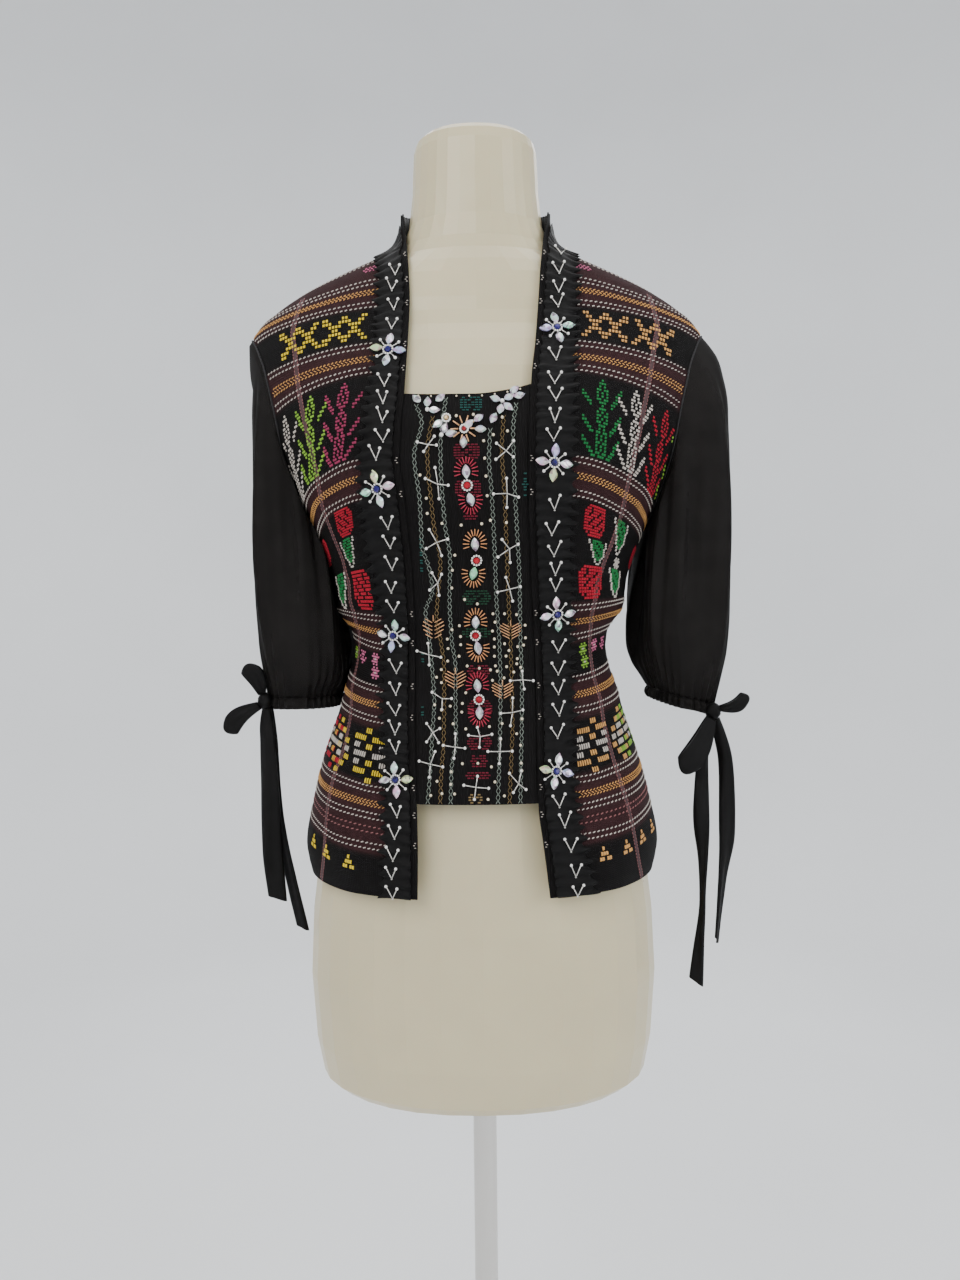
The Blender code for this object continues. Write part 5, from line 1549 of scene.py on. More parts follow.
Row = namedtuple("Row", ("at", *Stretch._fields))
TAIL_STEPS, TAIL_COLUMNS = 60, 10
LOOP_SIDES, LOOP_COLUMNS = 40, 8
# A loop's mean width, as a share of its width at the tip
LOOP_MEAN_WIDTH = 0.84


def make_tail(name, node, stretches):
    """A hanging ribbon end: crowned across, rolled a little at its edges and cut on a slant."""
    table = [Row(i, *stretch) for i, stretch in enumerate(stretches)]
    columns = [Profile(table, c, "at") for c in Stretch._fields]
    places = np.linspace(0, len(table) - 1, TAIL_STEPS + 1)
    rows = np.array([[column(p) for column in columns] for p in places])
    centres = rows[:, :3]
    along = unit(np.gradient(centres, axis=0))
    level = unit(np.array((1.0, 0.0, 0.0)) - along * along[:, :1])
    other = np.cross(along, level)
    turn = np.radians(rows[:, 4])[:, None]
    sides = level * np.cos(turn) + other * np.sin(turn)
    normals = np.cross(along, sides)
    grid = []
    for i in range(TAIL_STEPS + 1):
        points = []
        for column in range(TAIL_COLUMNS + 1):
            part = column / TAIL_COLUMNS * 2 - 1
            crown = 0.0010 * (1 - part * part) - 0.0008 * max(abs(part) - 0.86, 0) / 0.14
            crumple = noise.noise(Vector((i * 0.2, part, 1.0)))
            crease = 0.0005 * math.sin(part * 4.2 + i * 0.09) + 0.0003 * crumple
            slant = min(max((i - TAIL_STEPS + 8) / 8, 0.0), 1.0) * 0.0035 * part
            out = sides[i] * rows[i, 3] / 2 * part + normals[i] * (crown + crease) + along[i] * slant
            points.append(centres[i] + out)
        grid.append(points)
    outside = np.array(grid)
    piece = sewn_wall(
        name, outside, outside - normals[:, None, :] * TIE_WALL * 0.8, "satin", (node,)
    )
    length = float(np.linalg.norm(np.diff(centres, axis=0), axis=1).sum())
    return piece, length, float(rows[:, 3].mean())


def make_loop(name, node, loop):
    """A bow loop: the ribbon runs out to the tip and back, pinched where it meets the knot."""
    start, tip = np.array(loop.start), np.array(loop.tip)
    length = np.linalg.norm(tip - start)
    axis = (tip - start) / length
    flat = np.array((0.0, -1.0, 0.0)) + axis * axis[1]
    flat /= np.linalg.norm(flat)
    lift = np.cross(axis, flat)
    layers = []
    for wall_in in (0.0, TIE_WALL):
        edges = []
        for column in range(LOOP_COLUMNS + 1):
            part = column / LOOP_COLUMNS - 0.5
            edge = []
            for angle in turns(LOOP_SIDES):
                out = (1 - math.cos(angle)) / 2
                spread = loop.width * part * (0.42 + 0.58 * math.sin(math.pi / 2 * out))
                along = length / 2 - (length / 2 - wall_in) * math.cos(angle)
                along -= length * 0.75 * part * part * out * out
                arch = loop.bend * math.sin(math.pi * out)
                pinch = 0.0007 * math.cos(part * 16) * (1 - out) ** 0.7
                swell = (loop.depth - wall_in + pinch) * math.sin(angle)
                edge.append(start + axis * along + flat * swell + lift * (arch + spread))
            edges.append(edge)
        layers.append(np.array(edges))
    piece = sewn_wall(name, layers[0], layers[1], "satin", (node,), tube=True)
    return piece, 2 * length


def make_knot(name, node, knot):
    """A tight knot: a round of ribbon with the folds that wrap it."""
    heap = Heap()
    points, faces = make_ball(15, 24)
    shaped = []
    for p in points:
        angle = math.atan2(p.y, p.x)
        wrap = 1 - 0.10 * math.cos(3 * angle) * (1 - p.z * p.z) + 0.05 * math.cos(9 * angle + p.z * 4)
        wrap += 0.04 * math.sin(p.z * 11 + angle)
        shaped.append(Vector((
            knot.centre[0] + p.x * knot.radii[0] * wrap,
            knot.centre[1] + p.y * knot.radii[1] * wrap,
            knot.centre[2] + p.z * knot.radii[2] * (0.98 + 0.03 * math.cos(6 * angle)),
        )))
    heap.add(shaped, faces, "satin", True)
    return heap.build(name, "ruched_ribbon", (node,))


def make_bows():
    """The ribbon ties at the cuffs: knots, loops and tails."""
    knots = {word: make_knot(f"bow_knot_{word}", f"tie_knot_{word}", KNOTS[word]) for _, word in SIDES}
    for node, stretches in TAILS.items():
        piece, length, width = make_tail(node.replace("tie_", "bow_"), node, stretches)
    for node, loop in LOOPS.items():
        piece, length = make_loop(node.replace("tie_", "bow_"), node, loop)
        width = round(loop.width * LOOP_MEAN_WIDTH, 3)


# Bead sprays down the ribbons: the foot of each V, in millimetres from the middle and above 1 m
V_FEET = {
    -1: (
        (-67.7, 373.8), (-70.4, 359.2), (-68.3, 340.8), (-69.7, 322.7), (-73.6, 271.0), (-74.5, 256.4),
        (-74.7, 241.4), (-74.1, 226.3), (-80.1, 212.6), (-72.2, 159.3), (-70.5, 144.3), (-69.6, 126.6),
        (-70.8, 107.8), (-69.6, 92.0), (-69.0, 39.6), (-69.0, 21.3), (-68.9, 4.8), (-70.3, -11.2),
        (-69.7, -26.6), (-68.5, -77.2), (-70.5, -94.3), (-71.9, -111.6), (-73.4, -126.5), (-72.8, -143.0),
    ),
    1: (
        (72.1, 393.8), (69.6, 373.8), (68.5, 356.0), (67.5, 341.9), (63.4, 292.0), (61.3, 271.5),
        (61.7, 256.9), (60.2, 239.4), (58.9, 225.1), (59.6, 172.4), (57.7, 152.9), (59.7, 136.3),
        (60.8, 121.0), (61.0, 108.0), (64.0, 56.0), (64.0, 37.1), (63.7, 20.6), (63.7, 3.2), (62.0, -15.0),
        (62.9, -70.2), (66.9, -86.4), (71.5, -105.8), (75.5, -126.7), (76.7, -143.0),
    ),
}
V_ARMS = {-1: ((-4.6, 9.4), (3.4, 7.8)), 1: ((-4.2, 8.2), (4.6, 9.6))}
TUBE_RADIUS, PEARL_RADIUS = 0.00046, 0.00132
Flower = namedtuple("Flower", "node x z turn")
FLOWERS = rows_of(
    Flower,
    ("stone_flower_left_1", -0.0717, 1.3021, 8), ("stone_flower_left_2", -0.0795, 1.1896, -12),
    ("stone_flower_left_3", -0.0712, 1.0708, 10), ("stone_flower_left_4", -0.0700, 0.9513, -6),
    ("stone_flower_right_1", 0.0656, 1.3210, -10), ("stone_flower_right_2", 0.0592, 1.2071, 6),
    ("stone_flower_right_3", 0.0630, 1.0877, -8), ("stone_flower_right_4", 0.0608, 0.9573, 12),
)
PETAL = namedtuple("Petal", "length width height")(0.0116, 0.0068, 0.0028)
PETAL_START = 0.0036
# Where a flower's short sprays start from its middle, and how long they are
FLOWER_SPRAY = (0.0044, 0.0062)
PETAL_TINTS = (
    "crystal", "lilac_stone", "crystal", "lime_stone", "rose_stone", "crystal", "mint_stone"
)

# Centre panel, in millimetres: crosses as a middle and the offsets of their arms
CROSSES = (
    (-39.1, 222.1, -8.5, 2.3, 6.6, -0.6, 5.0, 6.3, -3.5, -5.3),
    (-31.9, 191.2, -9.7, 4.6, 8.2, -0.9, -1.9, 12.8, 0.8, -10.9),
    (-33.8, 146.5, -5.7, 10.2, 8.9, 2.5, -8.6, -4.6, 3.7, -10.4),
    (-33.9, 113.9, -4.4, 8.5, 3.4, 7.2, -6.6, -5.5, 0.9, -9.9),
    (22.1, 216.4, -7.6, 5.8, 5.8, 7.8, -8.2, -6.7, 5.5, -4.8),
    (22.6, 183.6, -10.8, -0.3, -0.5, 11.5, 8.9, -2.8, -0.3, -10.6),
    (24.4, 140.7, -6.0, 7.5, 6.9, 3.7, -9.3, -6.3, 0.5, -10.7),
    (24.6, 108.4, -3.2, 9.6, 8.6, 2.0, -9.9, -2.3, 2.3, -9.7),
    (-42.5, 54.4, -9.8, 3.1, -0.4, 9.7, 10.1, -2.0, 0.3, -8.4),
    (-31.6, 17.9, -8.4, 5.3, 7.7, 0.2, -0.4, -8.8),
    (-39.6, -9.6, -5.0, 7.2, 5.9, 3.3, -5.1, -7.8, 4.8, -8.2),
    (-41.8, -35.3, -9.2, 2.2, 10.3, -2.0, 4.0, 10.2, -0.8, -10.4),
    (-21.3, -21.4, -9.7, 1.4, 8.0, -0.8, 0.3, 10.9, -1.0, -8.9),
    (-0.7, -13.0, -9.6, 1.2, 9.6, 1.8, -2.3, 7.6, -0.7, -8.5),
    (-4.6, -53.5, -9.8, 1.7, 10.4, -0.9, 1.4, 8.8, -1.3, -9.5),
    (35.1, 32.8, -10.5, -0.5, 8.6, -1.0, -0.7, 7.3, 0.9, -7.6),
    (26.1, 6.2, -9.8, -0.6, 8.6, 1.8, 0.3, 11.8, -1.9, -10.7),
    (15.5, -25.2, -10.0, 0.2, 9.9, 0.1, 0.5, 10.4, -0.9, -9.7),
    (30.3, -51.4, -7.5, 8.6, 5.9, -4.7, 2.4, 10.3, -4.5, -6.7),
)
LONE_PEARLS = (
    (-16.8, 244.2), (-3.4, 245.0), (4.5, 224.3), (5.1, 210.7), (6.0, 196.8), (6.8, 182.0), (23.2, 231.9),
    (19.3, 242.7), (12.1, 229.0), (-45.8, 198.6), (-41.2, 180.8), (-40.8, 169.2), (-29.2, 161.2),
    (-14.0, 159.6), (2.3, 160.5), (9.2, 163.1), (21.9, 161.3), (-19.5, 136.2), (-21.7, 124.2),
    (-22.4, 109.8), (-12.2, 100.3), (-1.9, 96.6), (10.8, 88.4), (20.3, 88.3), (30.1, 87.5), (12.5, 81.5),
    (37.2, 78.6), (-16.8, 78.9), (-22.9, 75.4), (10.3, 74.0), (-16.0, 69.6), (-26.9, 67.6), (11.8, 67.3),
    (37.5, 67.8), (-43.1, 64.1), (-15.9, 62.8), (-26.4, 59.6), (11.7, 60.6), (20.2, 63.2), (35.9, 61.8),
    (31.0, 60.6), (23.7, 57.5), (-17.4, 53.2), (11.7, 52.9), (21.3, 52.9), (-26.8, 49.2), (30.6, 50.6),
    (30.1, 46.3), (33.3, 43.3), (-10.8, 45.1), (-0.8, 43.1), (12.4, 44.9), (21.7, 44.1), (27.6, 39.5),
    (13.9, 40.5), (8.4, 41.7), (-36.2, 35.7), (-32.2, 31.2), (-32.2, 42.1), (9.9, 32.9), (19.5, 34.8),
    (-12.2, 22.8), (-37.9, 12.9), (-32.3, 8.7), (-25.1, 11.9), (-15.1, 14.1), (-15.6, 7.1), (-34.1, 2.0),
    (-22.8, -2.4), (-12.4, -6.6), (-3.0, -5.4), (7.0, -4.9), (17.4, -2.6), (33.8, 0.8), (29.3, -11.2),
    (32.3, -20.6), (16.1, -15.1), (-15.5, -34.6), (-2.8, -34.4), (8.2, -37.4), (32.6, -34.9),
    (33.1, -41.1), (-24.6, -41.1), (-36.3, -48.9), (-25.1, -51.1), (-32.3, -58.5), (-41.5, -60.2),
    (-22.0, -58.7), (10.9, -49.4), (18.5, -60.6), (5.2, -63.1),
)
Chain = namedtuple("Chain", "word places")
CHAINS = (
    Chain("pale", (
        (-49.5, 256.9), (-44.2, 240.0), (-50.5, 214.3), (-46.8, 179.3), (-46.0, 144.4), (-40.4, 124.4),
        (-38.4, 108.1), (-44.7, 90.1), (-42.0, 66.8), (-39.4, 33.5), (-38.4, 17.1), (-40.0, -7.4),
        (-41.8, -35.6), (-44.3, -67.0),
    )),
    Chain("gold", (
        (-35.1, 245.4), (-40.0, 216.3), (-37.3, 175.3), (-35.5, 155.9), (-31.4, 132.2), (-34.5, 99.9),
        (-35.7, 83.5), (-32.7, 66.8), (-30.1, 43.5), (-30.2, 17.1), (-31.0, -19.4), (-32.7, -39.5),
        (-34.0, -67.0),
    )),
    Chain("pale", (
        (-24.7, 262.0), (-29.6, 217.5), (-27.4, 163.5), (-23.5, 132.1), (-24.6, 99.8), (-23.6, 68.4),
        (-20.5, 43.5), (-20.8, 17.2), (-20.6, -15.3), (-24.5, -39.4), (-25.4, -67.0),
    )),
    Chain("pale", (
        (10.0, 236.5), (8.5, 209.1), (10.3, 186.0), (12.8, 131.7), (13.8, 99.4), (15.9, 66.4),
        (16.6, 33.2), (15.8, -7.5), (14.5, -39.7), (13.2, -67.0),
    )),
    Chain("gold", (
        (20.7, 247.0), (18.7, 216.9), (20.5, 185.9), (21.7, 155.2), (22.6, 131.6), (23.7, 99.3),
        (25.2, 66.2), (25.8, 33.0), (26.1, 0.3), (24.3, -39.9), (22.6, -67.0),
    )),
    Chain("pale", (
        (30.8, 255.5), (27.7, 232.6), (28.4, 193.5), (30.1, 162.9), (32.7, 115.5), (33.6, 66.1),
        (34.5, 32.8), (33.9, 0.1), (32.5, -40.1), (31.6, -67.0),
    )),
)
Medallion = namedtuple("Medallion", "word low_word ray top middle bottom")
MEDALLIONS = (
    Medallion("ruby", "crystal", "red_tube", (-9.5, 200.4), (-8.9, 190.0), (-6.3, 179.3)),
    Medallion("ruby", "green_stone", "orange_tube", (-3.2, 144.5), (-2.1, 131.8), (-4.7, 121.5)),
    Medallion("ruby", "crystal", "orange_tube", (-3.5, 81.5), (-3.7, 70.3), (-1.7, 60.0)),
    Medallion("ruby", "crystal", "red_tube", (-2.5, 28.5), (-1.3, 17.1), (-1.0, 6.5)),
)
PanelBlock = namedtuple("PanelBlock", "word left right top bottom")
PANEL_BLOCKS = rows_of(
    PanelBlock,
    ("teal", -15.0, 4.6, 261.0, 247.0), ("wine", -20.7, 2.7, 222.8, 210.0),
    ("wine", -20.3, 3.9, 194.0, 180.7), ("wine", -12.8, -0.2, 169.4, 163.1),
    ("wine", -11.7, 10.4, 17.1, 0.7), ("wine", -11.9, 9.3, -11.3, -25.2),
    ("wine", -9.6, 5.8, -27.4, -39.5), ("wine", -14.6, 9.0, -41.0, -49.1),
    ("gold", -11.5, 1.4, -58.3, -67.0), ("pine", -14.6, 9.7, 107.9, 93.7),
    ("pine", -15.2, 9.5, 76.7, 68.1), ("wine", -12.0, 10.0, 46.0, 34.0),
    ("teal", -50.0, -44.0, 150.0, 120.0), ("teal", 34.0, 40.0, 200.0, 180.0),
    ("teal", -51.0, -45.0, 56.0, 46.0), ("teal", -51.0, -46.0, 12.0, 2.0),
)
Leaf = namedtuple("Leaf", "x top bottom")
RAYS, RAY_FAN = 13, 106
TUBE_LIFT, THIN_TUBE = 0.0004, 0.00042
RING_PEARLS, RING_PEARL_RADIUS = 12, 0.00092
MEDALLION_STONE, SWAG_STONE = (0.0116, 0.0064, 0.0026), (0.0096, 0.0060, 0.0028)
# The panel's chain lines: step, half width, and a link's length and lean
CHAIN_STEP, LINK_OUT, LINK_LENGTH, LINK_LEAN = 0.0026, 0.00095, 0.0029, 0.50
# Height and width of a woven cell of the panel
PANEL_CELL = (0.0021, 0.0030)
Spot = namedtuple("Spot", "x z")
TOP_PEARLS = 9
LEAF_ROWS, LEAF_SPREAD = 5, 0.0082
GOLD_LEAVES = (
    Leaf(-38.3, 87.6, 66.8), Leaf(25.3, 82.8, 66.2), Leaf(-20.6, 43.5, 25.3), Leaf(18.2, 33.2, 16.8)
)
SWAG_STONES = (
    (-48.4, 259.4), (-39.5, 256.5), (-29.2, 259.6), (-33.9, 249.5), (-31.6, 238.0), (-26.1, 234.7),
    (-20.6, 230.6), (-11.3, 223.4), (-7.2, 237.5), (2.1, 233.5), (0.6, 242.2), (14.2, 258.1),
    (18.0, 249.5), (12.4, 242.1), (24.4, 251.2), (25.3, 259.8), (29.5, 266.0), (33.4, 261.0),
)
SWAG_CENTRES = (
    (-39.5, 249.8, "pearl"), (-24.6, 242.7, "amber"), (-10.7, 234.0, "ruby"), (19.5, 256.0, "pearl"),
    (-28.5, 229.5, "pearl"),
)


def metres(x, z):
    """A place in millimetres from the middle and above 1 m, as the scene's own x and z."""
    return x / 1000, 1 + z / 1000


class Beader:
    """Sews beads and stones to the ground below them, by their place on the front."""

    def __init__(self, heap, ground, panel=False):
        self.heap, self.ground, self.panel = heap, ground, panel

    def at(self, x, z, height=0.0):
        """The place at a height over the ground, and the way out from it."""
        if self.panel:
            point = Vector(panel_point(x, z))
        else:
            point = Vector(cloth_point(turn_at(abs(x), z, False), z, -1 if x < 0 else 1, False))
        normal = out_from(point, False)
        return self.ground.seat(point, normal) + normal * height, normal

    def pearl(self, x, z, radius=PEARL_RADIUS, word="pearl"):
        round_bead(self.heap, self.at(x, z, radius * 0.85)[0], radius, word)

    def tube(self, x, z, dx, dz, word="silver", radius=TUBE_RADIUS, pearl=True):
        """A tube bead from a foot, with a pearl at its far end if asked."""
        foot, normal = self.at(x, z, radius + TUBE_LIFT)
        end = self.at(x + dx, z + dz, radius + TUBE_LIFT)[0]
        reach = end - foot
        stop = foot + reach * (1 - PEARL_RADIUS / max(reach.length, 1e-6)) if pearl else end
        tube_bead(self.heap, foot, stop, radius, word)
        if pearl:
            round_bead(self.heap, end + normal * TUBE_LIFT, PEARL_RADIUS, "pearl")

    def stone(self, x, z, angle, size, word="crystal", outline=NAVETTE, lift=0.0006):
        """A cut stone; the angle is from straight up, clockwise as the viewer sees it."""
        place, normal = self.at(x, z, lift)
        along = Vector((math.sin(angle), 0.0, math.cos(angle)))
        along -= normal * along.dot(normal)
        cut_stone(self.heap, place, along.normalized(), normal, *size, word, outline)

    def rosette(self, x, z, word, radius, ring):
        """A round stone in a ring of small pearls."""
        self.stone(x, z, 0.0, (radius * 2, radius * 2, 0.0024), word, ROUND, 0.0012)
        for angle in turns(RING_PEARLS):
            place = self.at(x + ring * math.sin(angle), z + ring * math.cos(angle), 0.0014)[0]
            round_bead(self.heap, place, RING_PEARL_RADIUS, "pearl")


def make_sprays(grounds):
    """The V sprays of tube beads and pearls down both ribbons."""
    for side, word in SIDES:
        heap = Heap()
        beader = Beader(heap, grounds[word])
        chance = random.Random(11 + side)
        for x, z in V_FEET[side]:
            for dx, dz in V_ARMS[side]:
                dx, dz = dx + chance.uniform(-0.9, 0.9), dz + chance.uniform(-1.2, 1.2)
                beader.tube(*metres(x + dx * 0.08, z), dx / 1000, dz / 1000)
            beader.pearl(*metres(x, z - 1.0), PEARL_RADIUS * 0.62, "silver")
        heap.build(f"bead_sprays_{word}", "clear_stone")


def make_flowers(grounds):
    """The stone flowers on the ribbons: four pointed petals, a blue middle and four short sprays."""
    for number, flower in enumerate(FLOWERS):
        heap = Heap()
        beader = Beader(heap, grounds["left" if flower.x < 0 else "right"])
        reach = PETAL_START + PETAL.length / 2
        for i, angle in enumerate(turns(4, math.radians(flower.turn))):
            across, up = math.sin(angle), math.cos(angle)
            tint_word = PETAL_TINTS[(i + 3 * number) % len(PETAL_TINTS)]
            beader.stone(flower.x + across * reach, flower.z + up * reach, angle, PETAL, tint_word)
            across, up = math.sin(angle + math.pi / 4), math.cos(angle + math.pi / 4)
            foot, length = FLOWER_SPRAY
            beader.tube(flower.x + across * foot, flower.z + up * foot, across * length, up * length)
        beader.rosette(flower.x, flower.z, "blue", 0.0028, 0.0038)
        heap.build(flower.node.replace("stone_", "cut_"), "clear_stone", (flower.node,))


def chain_places(places):
    """Even steps down a chain's line."""
    rows = [Spot(*metres(x, z)) for x, z in sorted(places, key=lambda p: p[1])]
    across = Profile(rows, "x")
    low, high = rows[0].z, rows[-1].z
    levels = [low + (i + 0.5) * CHAIN_STEP for i in range(int((high - low) / CHAIN_STEP))]
    return [(across(z), z) for z in levels]


def make_panel_weave(ground):
    """Woven figures and chain-stitched lines of the centre panel."""
    heap = Heap()
    beader = Beader(heap, ground, True)
    level = Vector((1.0, 0.0, 0.0))
    high, wide = PANEL_CELL
    for block in PANEL_BLOCKS:
        middle, top = metres((block.right + block.left) / 2, block.top)
        width = (block.right - block.left) / 1000
        rows = int((block.top - block.bottom) / 1000 / high)
        for r in range(rows):
            taper = 1 - 0.30 * (2 * (r + 0.5) / rows - 1) ** 2
            count = max(int(width * taper / wide), 1)
            for c in range(count):
                off = c + 0.5 - count / 2
                if (r + c) % 3 == 1 and abs(off) < count * 0.22:
                    continue
                place, normal = beader.at(middle + off * wide, top - (r + 0.5) * high)
                stitch(heap, place, level, normal, wide * 0.84, high * 0.62, 0.0005, block.word)
    for chain in CHAINS:
        for number, (x, z) in enumerate(chain_places(chain.places)):
            for way in (-1, 1):
                place, normal = beader.at(x + way * LINK_OUT, z)
                lean = way * (LINK_LEAN if number % 2 else -LINK_LEAN)
                along = Vector((math.sin(lean), 0.0, math.cos(lean)))
                stitch(heap, place, along, normal, LINK_LENGTH, 0.0005, 0.0006, chain.word)
    return heap.build("panel_weaving", "woven_cloth")


def make_panel_beads(ground):
    """Crosses, leaves, pearls and medallions of the centre panel."""
    heap = Heap()
    beader = Beader(heap, ground, True)
    for x, z, *arms in CROSSES:
        for dx, dz in zip(arms[::2], arms[1::2]):
            beader.tube(*metres(x + dx * 0.10, z + dz * 0.10), dx * 0.9 / 1000, dz * 0.9 / 1000)
        beader.pearl(*metres(x, z), 0.0009, "silver")
    for leaf in GOLD_LEAVES:
        (x, top), bottom = metres(leaf.x, leaf.top), 1 + leaf.bottom / 1000
        for i in range(LEAF_ROWS):
            z = blend(bottom, top - 0.0045, (i + 0.5) / LEAF_ROWS)
            spread = LEAF_SPREAD * math.sin(math.pi * (i + 2.0) / (LEAF_ROWS + 3.0))
            for way in (-1, 1):
                beader.tube(x + way * 0.0009, z, way * spread, spread * 0.55, "bronze", THIN_TUBE, False)
        beader.tube(x, top - 0.0050, 0.0, 0.0050, "bronze", THIN_TUBE, False)
    for place in LONE_PEARLS:
        beader.pearl(*metres(*place), 0.00125, "cream")
    for item in MEDALLIONS:
        for (x, z), word, way in ((item.top, "crystal", 1), (item.bottom, item.low_word, -1)):
            lean = math.atan2(x - item.middle[0], (z - item.middle[1]) * way)
            beader.stone(*metres(x, z), lean * way, MEDALLION_STONE, word)
            for i in range(RAYS):
                fan = math.radians(blend(-RAY_FAN, RAY_FAN, i / (RAYS - 1)))
                across, up = math.sin(fan), math.cos(fan) * way
                foot = metres(x + across * 4.6, z + up * 6.6)
                beader.tube(*foot, across * 0.0052, up * 0.0054, item.ray, THIN_TUBE, False)
        beader.rosette(*metres(*item.middle), item.word, 0.0027, 0.0038)
    return heap.build("panel_beads", "clear_stone")


def make_neckline_stones(ground):
    """The swag of drop and pointed stones along the panel's top."""
    heap = Heap()
    beader = Beader(heap, ground, True)
    for x, z in SWAG_STONES:
        centre = min(SWAG_CENTRES, key=lambda c: (c[0] - x) ** 2 + (c[1] - z) ** 2)
        angle = math.atan2(x - centre[0], z - centre[1])
        outline = DROP if abs(x) > 20 else NAVETTE
        beader.stone(*metres(x, z), angle, SWAG_STONE, outline=outline)
    for x, z, word in SWAG_CENTRES:
        if word == "pearl":
            beader.pearl(*metres(x, z), 0.0018)
        else:
            beader.rosette(*metres(x, z), word, 0.0018, 0.0030)
    x, z, _ = SWAG_CENTRES[2]
    for angle in turns(10, 0.3):
        dx, dz = math.sin(angle), math.cos(angle)
        beader.tube(*metres(x + dx * 4.6, z + dz * 4.6), dx * 0.0062, dz * 0.0062, "bronze", 0.0006, False)
    for i in range(TOP_PEARLS):
        x = blend(-52.0, 39.0, (i + 0.5) / TOP_PEARLS) / 1000
        beader.pearl(x, PANEL_TOP_AT(x) - 0.0024, 0.0008, "cream")
    heap.build("neckline_stones", "clear_stone", [f"stone_sprig_{i}" for i in range(1, 5)])


def make_seams():
    """Ridges of the armhole seams."""
    for side, word in SIDES:
        heap = Heap()
        line = [Vector(p) + Vector((side * 0.0001, 0.0, 0.0)) for p in armhole_ring(side, 96)]
        for start, end in zip(line, line[1:] + line[:1]):
            if (end - start).length > 1e-5:
                tube_bead(heap, start, end + (end - start) * 0.15, 0.00085, "seam")
        heap.build(f"armhole_seam_{word}", "woven_cloth")


def dress_form_and_stand():
    """Gives the carried-over form and stand their own finishes."""
    settings = bpy.context.scene.kebaya_colours
    shell = smooth_finish(
        "form_plastic", settings.form_plastic, 0.30, 0.035, 14.0, 0.03,
        **{"Coat Weight": 0.12, "Subsurface Weight": 0.12, "Subsurface Scale": 0.01, "Specular IOR Level": 0.35},
    )
    metal = smooth_finish(
        "brushed_stand", (0.62, 0.60, 0.57), 0.30, 0.08, 30.0, 0.06, (1.0, 1.0, 0.03), **{"Metallic": 1.0}
    )
    for node in ("dress_form", "stand_base", "stand_flange", "stand_pole"):
        for place in frame["nodes"][node].material_slots:
            place.material = shell if node == "dress_form" else metal


STAGE_FLAT, STAGE_WALL, STAGE_SIDES = 2.3, 3.1, 96
CAMERA_PLACE, CAMERA_TILT, CAMERA_ROLL = (0.0, -0.90, 1.10), 87.6, -0.6


def make_stage():
    """A pale round floor that curves up into a wall, soft lights and the camera."""
    settings = bpy.context.scene.kebaya_stage
    points, faces = [Vector((0.0, 0.0, -0.0005))], []
    bend = STAGE_WALL - STAGE_FLAT
    profile = [(0.8, 0.0), (1.6, 0.0), (STAGE_FLAT, 0.0)]
    for angle in np.linspace(0.1, math.pi / 2, 12):
        profile.append((STAGE_FLAT + bend * math.sin(angle), bend * (1 - math.cos(angle))))
    profile += [(STAGE_WALL, 3.0), (STAGE_WALL, 4.6)]
    for radius, z in profile:
        for angle in turns(STAGE_SIDES):
            points.append(Vector((radius * math.cos(angle), radius * math.sin(angle), z - 0.0005)))
    for i in range(STAGE_SIDES):
        faces.append((0, 1 + i, 1 + (i + 1) % STAGE_SIDES))
    for ring in range(len(profile) - 1):
        low = 1 + ring * STAGE_SIDES
        faces += [face[::-1] for face in faces_between(low, low + STAGE_SIDES, STAGE_SIDES)]
    mesh = bpy.data.meshes.new("floor")
    mesh.from_pydata(points, [], faces)
    mesh.shade_smooth()
    mesh.materials.append(smooth_finish("pale_paint", settings.floor_colour, 0.85, 0.02, 2.0, 0.02))
    floor = bpy.data.objects.new("floor", mesh)
    bpy.context.scene.collection.objects.link(floor)
    for name, place, aim_z, size, power, warmth in (
        ("key_light", (-1.0, -1.9, 2.55), 1.05, 1.6, 1.0, (1.0, 0.985, 0.96)),
        ("fill_light", (1.8, -1.4, 1.9), 1.0, 1.5, 0.62, (0.96, 0.98, 1.0)),
        ("top_light", (0.0, 0.3, 3.4), 0.8, 2.2, 0.85, (1.0, 1.0, 1.0)),
        ("back_light", (0.4, 2.2, 2.3), 1.1, 1.8, 0.75, (1.0, 1.0, 1.0)),
    ):
        lamp = bpy.data.lights.new(name, "AREA")
        lamp.size, lamp.energy, lamp.color = size, settings.light_power * power, warmth
        item = bpy.data.objects.new(name, lamp)
        item.location = place
        way = Vector((0.0, 0.0, aim_z)) - Vector(place)
        item.rotation_euler = way.to_track_quat("-Z", "Y").to_euler()
        item.visible_camera = False
        bpy.context.scene.collection.objects.link(item)
    world = bpy.data.worlds.new("soft_room")
    world.use_nodes = True
    glow = world.node_tree.nodes["Background"].inputs
    glow["Color"].default_value, glow["Strength"].default_value = (0.92, 0.94, 0.97, 1.0), settings.room_light
    bpy.context.scene.world = world
    eye = bpy.data.cameras.new("camera")
    eye.sensor_fit, eye.sensor_width = "AUTO", 36.0
    eye.lens = settings.camera_lens
    eye.clip_start, eye.clip_end = 0.01, 50.0
    camera = bpy.data.objects.new("camera", eye)
    camera.location = CAMERA_PLACE
    turn = Matrix.Rotation(math.radians(CAMERA_TILT), 4, "X")
    turn = turn @ Matrix.Rotation(math.radians(CAMERA_ROLL), 4, "Z")
    camera.rotation_euler = turn.to_euler()
    bpy.context.scene.collection.objects.link(camera)
    bpy.context.scene.camera = camera


def colour_prop(name, description, default):
    """A colour that a user would change."""
    return bpy.props.FloatVectorProperty(
        name=name, description=description, default=default, subtype="COLOR", size=3, min=0.0, max=1.0
    )


